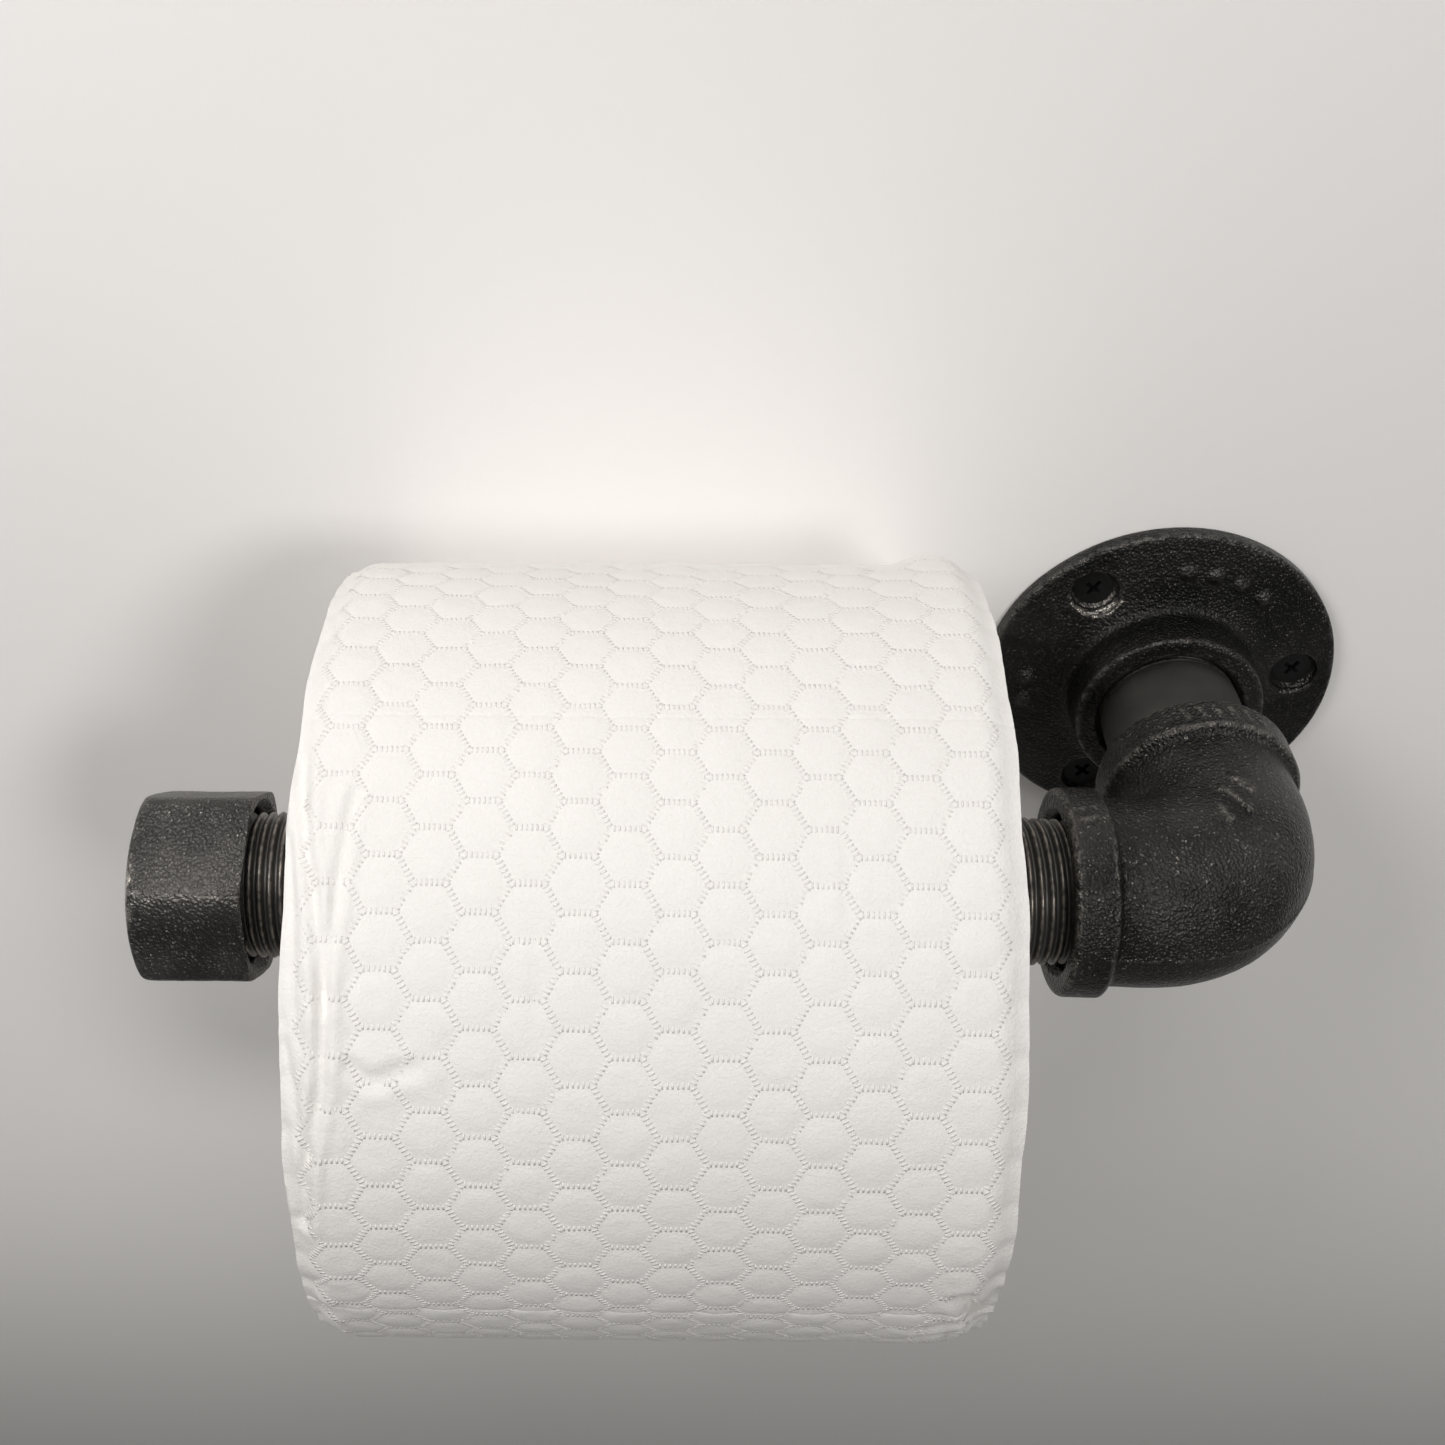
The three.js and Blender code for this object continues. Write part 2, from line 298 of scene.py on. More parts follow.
def paint_wear(
    piece: bpy.types.Object,
    spread: int = 0,
    weight: Optional[Callable[[np.ndarray], np.ndarray]] = None,
) -> None:
    """Writes how sharply each point stands out, from 0 to 1, as the attribute that worn edges read.

    Args:
        piece: the piece whose mesh gets the attribute.
        spread: how many edges the wear reaches away from a ridge.
        weight: how much of the wear is kept, from the points in millimetres.
    """
    mesh = piece.data
    count = len(mesh.vertices)
    place = np.empty(count * 3)
    mesh.vertices.foreach_get("co", place)
    place = place.reshape(-1, 3) / MM
    normal = np.empty(count * 3)
    mesh.vertex_normals.foreach_get("vector", normal)
    normal = normal.reshape(-1, 3)
    edges = np.empty(len(mesh.edges) * 2, int)
    mesh.edges.foreach_get("vertices", edges)
    first, second = edges.reshape(-1, 2).T
    gap = place[first] - place[second]
    square = np.maximum((gap**2).sum(1), 1e-6)
    bend = np.zeros(count)
    np.maximum.at(bend, first, 2 * (normal[first] * gap).sum(1) / square)
    np.maximum.at(bend, second, -2 * (normal[second] * gap).sum(1) / square)
    worn = smoothstep(BLUNT_BEND, SHARP_BEND, bend)
    for _ in range(spread):
        total, links = worn.copy(), np.ones(count)
        for here, there in ((first, second), (second, first)):
            np.add.at(total, here, worn[there])
            np.add.at(links, here, 1)
        worn = total / links
    if spread:
        worn = np.clip(worn * SPREAD_GAIN, 0.0, 1.0)
    if weight:
        worn = worn * weight(place)
    mesh.attributes.new("wear", "FLOAT", "POINT").data.foreach_set("value", worn)


def drill(piece: bpy.types.Object, cutters: Sequence[bpy.types.Object]) -> None:
    """Cuts each cutter out of the piece, and removes the cutters."""
    for cutter in cutters:
        cut = piece.modifiers.new("hole", "BOOLEAN")
        cut.operation = "DIFFERENCE"
        cut.solver = "EXACT"
        cut.object = cutter
    graph = bpy.context.evaluated_depsgraph_get()
    mesh = bpy.data.meshes.new_from_object(piece.evaluated_get(graph))
    piece.modifiers.clear()
    piece.data = mesh
    for cutter in cutters:
        bpy.data.objects.remove(cutter)


def dress(
    piece: bpy.types.Object,
    material: bpy.types.Material,
    body: Body,
    stands_for: Sequence[str] = (),
) -> bpy.types.Object:
    """Finishes a piece for the frame.

    Args:
        piece: the piece's object.
        material: what it is painted with.
        body: the body that it rides on.
        stands_for: the CAD nodes that it replaces.

    Returns:
        The same piece.
    """
    piece.data.materials.clear()
    piece.data.materials.append(material)
    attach(piece, body.value)
    if stands_for:
        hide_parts(*stands_for)
    LOG.info("%s: %d faces, rides on %s", piece.name, len(piece.data.polygons), body.value)
    return piece


@dataclass(frozen=True)
class Stroke:
    """A raised or pressed line on a surface, as points in the surface's own millimetres.

    Args:
        points: the places that the line runs through.
        width: how far the line's slope reaches to each side.
        height: how far it stands proud, or lies deep if it is negative.
    """

    points: tuple[tuple[float, float], ...]
    width: float
    height: float

    def distance(self, u: np.ndarray, v: np.ndarray) -> np.ndarray:
        """Returns the distance from each place to the line."""
        nearest = np.full(u.shape, np.inf)
        for (au, av), (bu, bv) in zip(self.points, self.points[1:] or self.points):
            du, dv = bu - au, bv - av
            square = max(du * du + dv * dv, 1e-9)
            t = np.clip(((u - au) * du + (v - av) * dv) / square, 0.0, 1.0)
            nearest = np.minimum(nearest, np.hypot(u - au - t * du, v - av - t * dv))
        return nearest

    def relief(self, u: np.ndarray, v: np.ndarray) -> np.ndarray:
        """Returns the height that the line adds at each place."""
        return self.height * (1.0 - smoothstep(0.35, 1.0, self.distance(u, v) / self.width))

    def fold(self, u: np.ndarray, v: np.ndarray) -> np.ndarray:
        """Returns the height of a crease in paper: a groove with a soft ridge on each side."""
        away = self.distance(u, v) / self.width
        ridge, ridge_place = 0.55, 2.1
        return self.height * (np.exp(-(away**2)) - ridge * np.exp(-((away - ridge_place) ** 2)))


# ---------------------------------------------------------------------------------------------
# Node trees


class Canvas:
    """Adds nodes to one tree and joins their sockets."""

    def __init__(self, tree: bpy.types.NodeTree) -> None:
        """Works on that tree."""
        self.tree = tree

    def node(self, kind: str, inputs: Optional[dict] = None, **settings: object) -> bpy.types.Node:
        """Adds a node.

        Args:
            kind: the node's type name.
            inputs: values or sockets by the input's name or number.
            settings: the node's own properties.
        """
        made = self.tree.nodes.new(kind)
        for key, value in settings.items():
            setattr(made, key, value)
        for key, value in (inputs or {}).items():
            self.feed(made.inputs[key], value)
        return made

    def feed(self, socket: bpy.types.NodeSocket, value: object) -> None:
        """Joins a socket to the input, or sets the input to a plain value."""
        if isinstance(value, bpy.types.NodeSocket):
            self.tree.links.new(value, socket)
        else:
            socket.default_value = value

    def math(self, operation: str, *values: object) -> bpy.types.NodeSocket:
        """Returns the result of a Math node."""
        return self.node("ShaderNodeMath", dict(enumerate(values)), operation=operation).outputs[0]

    def ramp(self, value: object, low: float, high: float) -> bpy.types.NodeSocket:
        """Returns a smooth climb from 0 at low to 1 at high."""
        inputs = {"Value": value, "From Min": low, "From Max": high}
        return self.node("ShaderNodeMapRange", inputs, interpolation_type="SMOOTHSTEP").outputs[0]

    def blend(self, amount: object, first: object, second: object) -> bpy.types.NodeSocket:
        """Returns a colour between two colours."""
        return self.node("ShaderNodeMix", {0: amount, 6: first, 7: second}, data_type="RGBA").outputs[2]


def new_group(name: str, kind: str, inputs: Sequence[tuple], outputs: Sequence[tuple]) -> Canvas:
    """Makes an empty node group.

    Args:
        name: the group's name.
        kind: the tree's type name.
        inputs: (name, socket type, default or None) of each input.
        outputs: (name, socket type) of each output.

    Returns:
        A canvas on the group.
    """
    tree = bpy.data.node_groups.new(name, kind)
    for label, socket_type, default in inputs:
        socket = tree.interface.new_socket(label, in_out="INPUT", socket_type=socket_type)
        if default is not None:
            socket.default_value = default
    for label, socket_type in outputs:
        tree.interface.new_socket(label, in_out="OUTPUT", socket_type=socket_type)
    return Canvas(tree)


FLOAT, VECTOR, GEOMETRY = "NodeSocketFloat", "NodeSocketVector", "NodeSocketGeometry"


def cast_grain_group() -> bpy.types.NodeTree:
    """Sand-cast skin: fine bumps, rarer pits, a slow change of tone and a painted glint on the tips of the
    grain.
    """
    canvas = new_group(
        "cast_grain",
        "ShaderNodeTree",
        [("Place", VECTOR, None), ("Grain Size", FLOAT, 0.9)],
        [("Height", FLOAT), ("Glint", FLOAT), ("Mottle", FLOAT)],
    )
    given = canvas.node("NodeGroupInput")
    scale = canvas.math("DIVIDE", 1000.0, given.outputs["Grain Size"])
    coarse_scale = canvas.math("MULTIPLY", scale, 0.28)
    place = given.outputs["Place"]
    inputs = {"Vector": place, "Scale": scale, "Detail": 2.5, "Roughness": 0.6}
    fine = canvas.node("ShaderNodeTexNoise", inputs)
    sand = canvas.node("ShaderNodeTexVoronoi", {"Vector": place, "Scale": scale, "Randomness": 1.0})
    lumps = canvas.node("ShaderNodeTexNoise", {"Vector": place, "Scale": coarse_scale, "Detail": 2.0})
    tone = canvas.node("ShaderNodeTexNoise", {"Vector": place, "Scale": 70.0, "Detail": 3.0})
    grains = canvas.math("SUBTRACT", 1.0, canvas.math("MULTIPLY", sand.outputs["Distance"], 1.1))
    sandy = canvas.math("MULTIPLY", grains, 0.55)
    height = canvas.math("ADD", sandy, canvas.math("MULTIPLY", fine.outputs[0], 0.75))
    height = canvas.math("ADD", height, canvas.math("MULTIPLY", lumps.outputs[0], 0.45))
    # Painted glint: peaks of the fine noise on the grain's tips, which the iron paints lighter as sparkle.
    bright = canvas.ramp(fine.outputs[0], 0.53, 0.7)
    end = canvas.node("NodeGroupOutput")
    canvas.feed(end.inputs["Height"], height)
    canvas.feed(end.inputs["Glint"], canvas.math("MULTIPLY", bright, canvas.ramp(grains, 0.45, 0.8)))
    canvas.feed(end.inputs["Mottle"], canvas.ramp(tone.outputs[0], 0.35, 0.68))
    return canvas.tree


def edge_wear_group() -> bpy.types.NodeTree:
    """Where a coat has rubbed thin: the mesh's own ridges, broken up by noise."""
    canvas = new_group(
        "edge_wear",
        "ShaderNodeTree",
        [("Place", VECTOR, None), ("Ridge", FLOAT, 0.0), ("Amount", FLOAT, 0.5)],
        [("Mask", FLOAT)],
    )
    given = canvas.node("NodeGroupInput")
    inputs = {"Vector": given.outputs["Place"], "Scale": 800.0, "Detail": 3.0}
    patch = canvas.node("ShaderNodeTexNoise", inputs)
    broken = canvas.math("MULTIPLY", canvas.ramp(patch.outputs[0], 0.36, 0.6), given.outputs["Ridge"])
    end = canvas.node("NodeGroupOutput")
    canvas.feed(end.inputs["Mask"], canvas.math("MULTIPLY", broken, given.outputs["Amount"]))
    return canvas.tree


def fibre_group() -> bpy.types.NodeTree:
    """Paper fibre: a soft fleece, and a few dark flecks."""
    canvas = new_group(
        "paper_fibre",
        "ShaderNodeTree",
        [("Place", VECTOR, None), ("Fibre Size", FLOAT, 0.5), ("Flecks", FLOAT, 1.0)],
        [("Height", FLOAT), ("Fleck", FLOAT), ("Tone", FLOAT)],
    )
    given = canvas.node("NodeGroupInput")
    place = given.outputs["Place"]
    scale = canvas.math("DIVIDE", 1000.0, given.outputs["Fibre Size"])
    inputs = {"Vector": place, "Scale": scale, "Detail": 4.0, "Roughness": 0.65, "Distortion": 0.6}
    fleece = canvas.node("ShaderNodeTexNoise", inputs)
    seeds = canvas.node("ShaderNodeTexVoronoi", {"Vector": place, "Scale": 75.0, "Randomness": 1.0})
    draw = canvas.node("ShaderNodeSeparateColor", {0: seeds.outputs["Color"]}).outputs[0]
    rare = canvas.math("GREATER_THAN", draw, 0.93)
    spot = canvas.math("LESS_THAN", seeds.outputs["Distance"], 0.026)
    stray = canvas.math("MULTIPLY", rare, spot)
    tone = canvas.node("ShaderNodeTexNoise", {"Vector": place, "Scale": 38.0, "Detail": 2.0})
    end = canvas.node("NodeGroupOutput")
    canvas.feed(end.inputs["Height"], fleece.outputs[0])
    canvas.feed(end.inputs["Fleck"], canvas.math("MULTIPLY", stray, given.outputs["Flecks"]))
    canvas.feed(end.inputs["Tone"], tone.outputs[0])
    return canvas.tree


def new_material(name: str) -> tuple[bpy.types.Material, Canvas, bpy.types.Node]:
    """Returns an empty node material, a canvas on it and its Principled shader."""
    material = bpy.data.materials.new(name)
    material.use_nodes = True
    material.node_tree.nodes.clear()
    canvas = Canvas(material.node_tree)
    shader = canvas.node("ShaderNodeBsdfPrincipled")
    canvas.node("ShaderNodeOutputMaterial", {"Surface": shader.outputs[0]})
    return material, canvas, shader


def use_group(canvas: Canvas, group: str, inputs: dict) -> bpy.types.Node:
    """Adds a copy of a named group to a material."""
    made = canvas.tree.nodes.new("ShaderNodeGroup")
    made.node_tree = bpy.data.node_groups[group]
    for key, value in inputs.items():
        canvas.feed(made.inputs[key], value)
    return made


Colour = tuple[float, float, float, float]


@dataclass(frozen=True)
class IronFinish:
    """A black iron surface.

    Args:
        name: the material's name.
        coat: colour of the black coat.
        light_coat: colour of its lighter patches.
        worn: colour of the metal at rubbed edges, and of the painted glint on the grain's tips.
        grain_size: size of the sandy grain, in mm.
        grain_depth: height of the grain, in mm.
        roughness: roughness of the coat.
        metallic: how metallic the coat looks.
        wear: how much of a ridge is rubbed, from 0 to 1.
        glint: how strongly the painted glint lightens the tips of the grain, from 0 to 1.
    """

    name: str
    coat: Colour
    light_coat: Colour
    worn: Colour
    grain_size: float
    grain_depth: float
    roughness: float
    metallic: float
    wear: float
    glint: float

    def material(self) -> bpy.types.Material:
        """Builds the material."""
        material, canvas, shader = new_material(self.name)
        place = canvas.node("ShaderNodeTexCoord").outputs["Object"]
        ridge = canvas.node("ShaderNodeAttribute", attribute_name="wear").outputs["Fac"]
        grain = use_group(canvas, "cast_grain", {"Place": place, "Grain Size": self.grain_size})
        rubbed = use_group(canvas, "edge_wear", {"Place": place, "Ridge": ridge, "Amount": self.wear})
        glint = canvas.math("MULTIPLY", grain.outputs["Glint"], self.glint)
        # Real wear on rubbed edges, joined with the painted glint on the grain's tips.
        wear_and_glint = canvas.math("MAXIMUM", rubbed.outputs["Mask"], glint)
        coat = canvas.blend(grain.outputs["Mottle"], self.coat, self.light_coat)
        canvas.feed(shader.inputs["Base Color"], canvas.blend(wear_and_glint, coat, self.worn))
        rough = canvas.math("SUBTRACT", self.roughness, canvas.math("MULTIPLY", wear_and_glint, 0.12))
        varied = canvas.math("ADD", rough, canvas.math("MULTIPLY", grain.outputs["Mottle"], 0.08))
        canvas.feed(shader.inputs["Roughness"], varied)
        shader.inputs["Metallic"].default_value = self.metallic
        inputs = {"Height": grain.outputs["Height"], "Strength": 0.8, "Distance": self.grain_depth * MM}
        canvas.feed(shader.inputs["Normal"], canvas.node("ShaderNodeBump", inputs).outputs[0])
        return material


@dataclass(frozen=True)
class FibreFinish:
    """A paper or board surface.

    Args:
        name: the material's name.
        light: its usual colour.
        dark: the colour of its darker patches.
        fleck: the colour of stray fibres.
        fibre_size: size of the fleece, in mm.
        fibre_depth: height of the fleece, in mm.
        flecks: how strongly stray fibres show.
    """

    name: str
    light: Colour
    dark: Colour
    fleck: Colour
    fibre_size: float
    fibre_depth: float
    flecks: float

    def material(self) -> bpy.types.Material:
        """Builds the material."""
        material, canvas, shader = new_material(self.name)
        place = canvas.node("ShaderNodeTexCoord").outputs["Object"]
        inputs = {"Place": place, "Fibre Size": self.fibre_size, "Flecks": self.flecks}
        fibre = use_group(canvas, "paper_fibre", inputs)
        ground = canvas.blend(fibre.outputs["Tone"], self.light, self.dark)
        canvas.feed(shader.inputs["Base Color"], canvas.blend(fibre.outputs["Fleck"], ground, self.fleck))
        rough = canvas.math("ADD", 0.86, canvas.math("MULTIPLY", fibre.outputs["Tone"], 0.1))
        canvas.feed(shader.inputs["Roughness"], rough)
        shader.inputs["Specular IOR Level"].default_value = 0.1
        bump = {"Height": fibre.outputs["Height"], "Strength": 0.8, "Distance": self.fibre_depth * MM}
        canvas.feed(shader.inputs["Normal"], canvas.node("ShaderNodeBump", bump).outputs[0])
        return material


def grey(value: float, warmth: float = 0.0) -> Colour:
    """Returns an opaque grey, warmer where warmth is above 0."""
    return (value * (1 + warmth), value, value * (1 - warmth), 1.0)


CAST_IRON = IronFinish(
    name="cast_iron",
    coat=grey(0.024, 0.03),
    light_coat=grey(0.055, 0.05),
    worn=grey(0.46, 0.08),
    grain_size=0.6,
    grain_depth=0.6,
    roughness=0.28,
    metallic=0.8,
    wear=0.24,
    glint=0.75,
)
CAP_IRON = replace(
    CAST_IRON,
    name="cap_iron",
    coat=grey(0.05, 0.03),
    light_coat=grey(0.1, 0.05),
    wear=0.95,
    glint=0.8,
)
# Painted shade: a darker copy of the cast iron for the flange, whose darker coat stands in for the shadow
# of the roll and the elbow on it.
FLANGE_IRON_SHADED = replace(
    CAST_IRON,
    name="flange_iron",
    coat=grey(0.02, 0.02),
    light_coat=grey(0.04, 0.03),
    grain_depth=0.4,
    wear=0.7,
    glint=0.3,
)
BLACK_PIPE = IronFinish(
    name="black_pipe",
    coat=grey(0.085, 0.05),
    light_coat=grey(0.11, 0.05),
    worn=grey(0.3, 0.14),
    grain_size=0.35,
    grain_depth=0.02,
    roughness=0.36,
    metallic=0.75,
    wear=0.6,
    glint=0.0,
)
BLACK_SCREW = IronFinish(
    name="black_screw",
    coat=grey(0.005),
    light_coat=grey(0.007),
    worn=grey(0.03),
    grain_size=0.3,
    grain_depth=0.01,
    roughness=0.5,
    metallic=0.3,
    wear=0.2,
    glint=0.0,
)
NYLON = FibreFinish(
    name="plug_nylon",
    light=grey(0.55, 0.03),
    dark=grey(0.5, 0.03),
    fleck=grey(0.5),
    fibre_size=1.5,
    fibre_depth=0.02,
    flecks=0.0,
)
BOARD = FibreFinish(
    name="core_board",
    light=(0.5, 0.37, 0.24, 1),
    dark=(0.4, 0.29, 0.18, 1),
    fleck=(0.2, 0.13, 0.08, 1),
    fibre_size=0.8,
    fibre_depth=0.08,
    flecks=0.8,
)
TISSUE = FibreFinish(
    name="tissue",
    light=(0.885, 0.865, 0.84, 1),
    dark=(0.835, 0.815, 0.79, 1),
    fleck=(0.2, 0.16, 0.12, 1),
    fibre_size=0.6,
    fibre_depth=0.2,
    flecks=1.0,
)
TISSUE_LAYERS = FibreFinish(
    name="tissue_layers",
    light=(0.9, 0.88, 0.85, 1),
    dark=(0.84, 0.81, 0.77, 1),
    fleck=(0.3, 0.25, 0.2, 1),
    fibre_size=0.5,
    fibre_depth=0.12,
    flecks=0.3,
)


# ---------------------------------------------------------------------------------------------
# Geometry node trees


def run_tree(name: str, base: bpy.types.Mesh, tree: bpy.types.NodeTree, values: dict) -> bpy.types.Mesh:
    """Runs a geometry tree once and returns its result as a plain mesh.

    Args:
        name: the new mesh's name.
        base: the mesh that the tree starts from.
        tree: the geometry tree.
        values: the tree's inputs by name.
    """
    carrier = bpy.data.objects.new(name, base)
    bpy.context.scene.collection.objects.link(carrier)
    modifier = carrier.modifiers.new(tree.name, "NODES")
    modifier.node_group = tree
    for item in tree.interface.items_tree:
        if item.in_out == "INPUT" and item.name in values:
            modifier[item.identifier] = values[item.name]
    graph = bpy.context.evaluated_depsgraph_get()
    mesh = bpy.data.meshes.new_from_object(carrier.evaluated_get(graph))
    carrier.modifiers.clear()
    bpy.data.objects.remove(carrier)
    mesh.name = name
    return mesh


def threaded_pipe_tree() -> bpy.types.NodeTree:
    """A straight pipe along +X with a helical thread at both ends, in metres."""
    canvas = new_group(
        "threaded_pipe",
        "GeometryNodeTree",
        [
            ("Geometry", GEOMETRY, None),
            ("Radius", FLOAT, 0.013),
            ("Bore Radius", FLOAT, 0.01),
            ("Start", FLOAT, 0.0),
            ("End", FLOAT, 0.1),
            ("Thread Length", FLOAT, 0.02),
            ("Pitch", FLOAT, 0.0018),
            ("Thread Depth", FLOAT, 0.001),
            ("Taper", FLOAT, 0.03),
            ("Rows", "NodeSocketInt", 600),
            ("Columns", "NodeSocketInt", 96),
            ("Material", "NodeSocketMaterial", None),
        ],
        [("Geometry", GEOMETRY)],
    )
    given = canvas.node("NodeGroupInput").outputs
    length = canvas.math("SUBTRACT", given["End"], given["Start"])
    position = canvas.node("GeometryNodeInputPosition").outputs[0]
    split = canvas.node("ShaderNodeSeparateXYZ", {0: position}).outputs
    turn = canvas.math("ADD", split["X"], 0.5)
    part = canvas.math("ADD", split["Y"], 0.5)
    along = canvas.math("MULTIPLY_ADD", part, length, given["Start"])
    from_start = canvas.math("SUBTRACT", along, given["Start"])
    from_end = canvas.math("SUBTRACT", given["End"], along)
    to_tip = canvas.math("MINIMUM", from_start, from_end)
    turns_along = canvas.math("DIVIDE", along, given["Pitch"])
    phase = canvas.math("FRACT", canvas.math("SUBTRACT", turns_along, turn))
    off_crest = canvas.math("ABSOLUTE", canvas.math("MULTIPLY_ADD", phase, 2.0, -1.0))
    tooth = canvas.math("SUBTRACT", 1.0, off_crest)
    groove = canvas.math("SUBTRACT", 1.0, canvas.ramp(tooth, 0.12, 0.85))
    past = canvas.math("SUBTRACT", given["Thread Length"], to_tip)
    cut = canvas.ramp(canvas.math("DIVIDE", past, canvas.math("MULTIPLY", given["Pitch"], 2.0)), 0.0, 1.0)
    depth = canvas.math("MULTIPLY", canvas.math("MULTIPLY", groove, given["Thread Depth"]), cut)
    taper = canvas.math("MULTIPLY", canvas.math("MAXIMUM", past, 0.0), given["Taper"])
    skin = canvas.math("SUBTRACT", canvas.math("SUBTRACT", given["Radius"], depth), taper)
    inside = canvas.math("GREATER_THAN", to_tip, 1e-6)
    reach = canvas.math("SUBTRACT", skin, given["Bore Radius"])
    outer = canvas.math("MULTIPLY_ADD", reach, inside, given["Bore Radius"])
    angle = canvas.math("MULTIPLY", turn, TURN)

    def tube(rows: object, radius: bpy.types.NodeSocket) -> bpy.types.NodeSocket:
        """Rolls a flat grid into a tube of that radius."""
        inputs = {"Size X": 1.0, "Size Y": 1.0, "Vertices X": given["Columns"], "Vertices Y": rows}
        sheet = canvas.node("GeometryNodeMeshGrid", inputs).outputs["Mesh"]
        y = canvas.math("MULTIPLY", radius, canvas.math("COSINE", angle))
        z = canvas.math("MULTIPLY", radius, canvas.math("SINE", angle))
        spot = canvas.node("ShaderNodeCombineXYZ", {0: along, 1: y, 2: z}).outputs[0]
        return canvas.node("GeometryNodeSetPosition", {"Geometry": sheet, "Position": spot}).outputs[0]

    skin_tube = tube(given["Rows"], outer)
    bore_tube = canvas.node("GeometryNodeFlipFaces", {"Mesh": tube(2, given["Bore Radius"])}).outputs[0]
    joined = canvas.node("GeometryNodeJoinGeometry")
    canvas.tree.links.new(skin_tube, joined.inputs[0])
    canvas.tree.links.new(bore_tube, joined.inputs[0])
    inputs = {"Geometry": joined.outputs[0], "Distance": 1e-6}
    welded = canvas.node("GeometryNodeMergeByDistance", inputs).outputs[0]
    finish_tree(canvas, welded, given["Material"])
    return canvas.tree


def finish_tree(canvas: Canvas, geometry: bpy.types.NodeSocket, material: bpy.types.NodeSocket) -> None:
    """Ends a geometry tree in Realize Instances and Set Material."""
    real = canvas.node("GeometryNodeRealizeInstances", {"Geometry": geometry}).outputs[0]
    painted = canvas.node("GeometryNodeSetMaterial", {"Geometry": real, "Material": material}).outputs[0]
    canvas.node("NodeGroupOutput", {"Geometry": painted})


def fixings_tree() -> bpy.types.NodeTree:
    """Puts one copy of a fixing at every point of the mesh that it starts from."""
    canvas = new_group(
        "fixings",
        "GeometryNodeTree",
        [
            ("Geometry", GEOMETRY, None),
            ("Fixing", "NodeSocketObject", None),
            ("Material", "NodeSocketMaterial", None),
        ],
        [("Geometry", GEOMETRY)],
    )
    given = canvas.node("NodeGroupInput").outputs
    fixing = canvas.node("GeometryNodeObjectInfo", {"Object": given["Fixing"]}).outputs["Geometry"]
    inputs = {"Points": given["Geometry"], "Instance": fixing}
    placed = canvas.node("GeometryNodeInstanceOnPoints", inputs).outputs[0]
    finish_tree(canvas, placed, given["Material"])
    return canvas.tree


def emboss_tree() -> bpy.types.NodeTree:
    """Lays short ticks across every edge of a flat pattern, as an embossing wheel does."""
    canvas = new_group(
        "emboss_ticks",
        "GeometryNodeTree",
        [
            ("Geometry", GEOMETRY, None),
            ("Ticks Per Edge", "NodeSocketInt", 6),
            ("Tick Length", FLOAT, 0.0014),
            ("Tick Width", FLOAT, 0.0004),
            ("Tick Height", FLOAT, 0.00016),
            ("Material", "NodeSocketMaterial", None),
        ],
        [("Geometry", GEOMETRY)],
    )
    given = canvas.node("NodeGroupInput").outputs
    lines = canvas.node("GeometryNodeMeshToCurve", {"Mesh": given["Geometry"]}).outputs[0]
    inputs = {"Curve": lines, "Count": given["Ticks Per Edge"]}
    spots = canvas.node("GeometryNodeCurveToPoints", inputs, mode="COUNT").outputs
    tangent = spots["Tangent"]
    turn = canvas.node("FunctionNodeAlignRotationToVector", {"Vector": tangent}, axis="Y").outputs[0]
    bead = canvas.node("GeometryNodeMeshCube", {"Size": (1.5, 1.4, 1.0)}).outputs["Mesh"]
    half = [canvas.math("MULTIPLY", given[key], 0.5) for key in ("Tick Length", "Tick Width")]
    size = canvas.node("ShaderNodeCombineXYZ", {0: half[0], 1: half[1], 2: given["Tick Height"]}).outputs[0]
    inputs = {"Points": spots["Points"], "Instance": bead, "Rotation": turn, "Scale": size}
    ticks = canvas.node("GeometryNodeInstanceOnPoints", inputs).outputs[0]
    finish_tree(canvas, ticks, given["Material"])
    return canvas.tree


# ---------------------------------------------------------------------------------------------
# Flange, screws and plugs


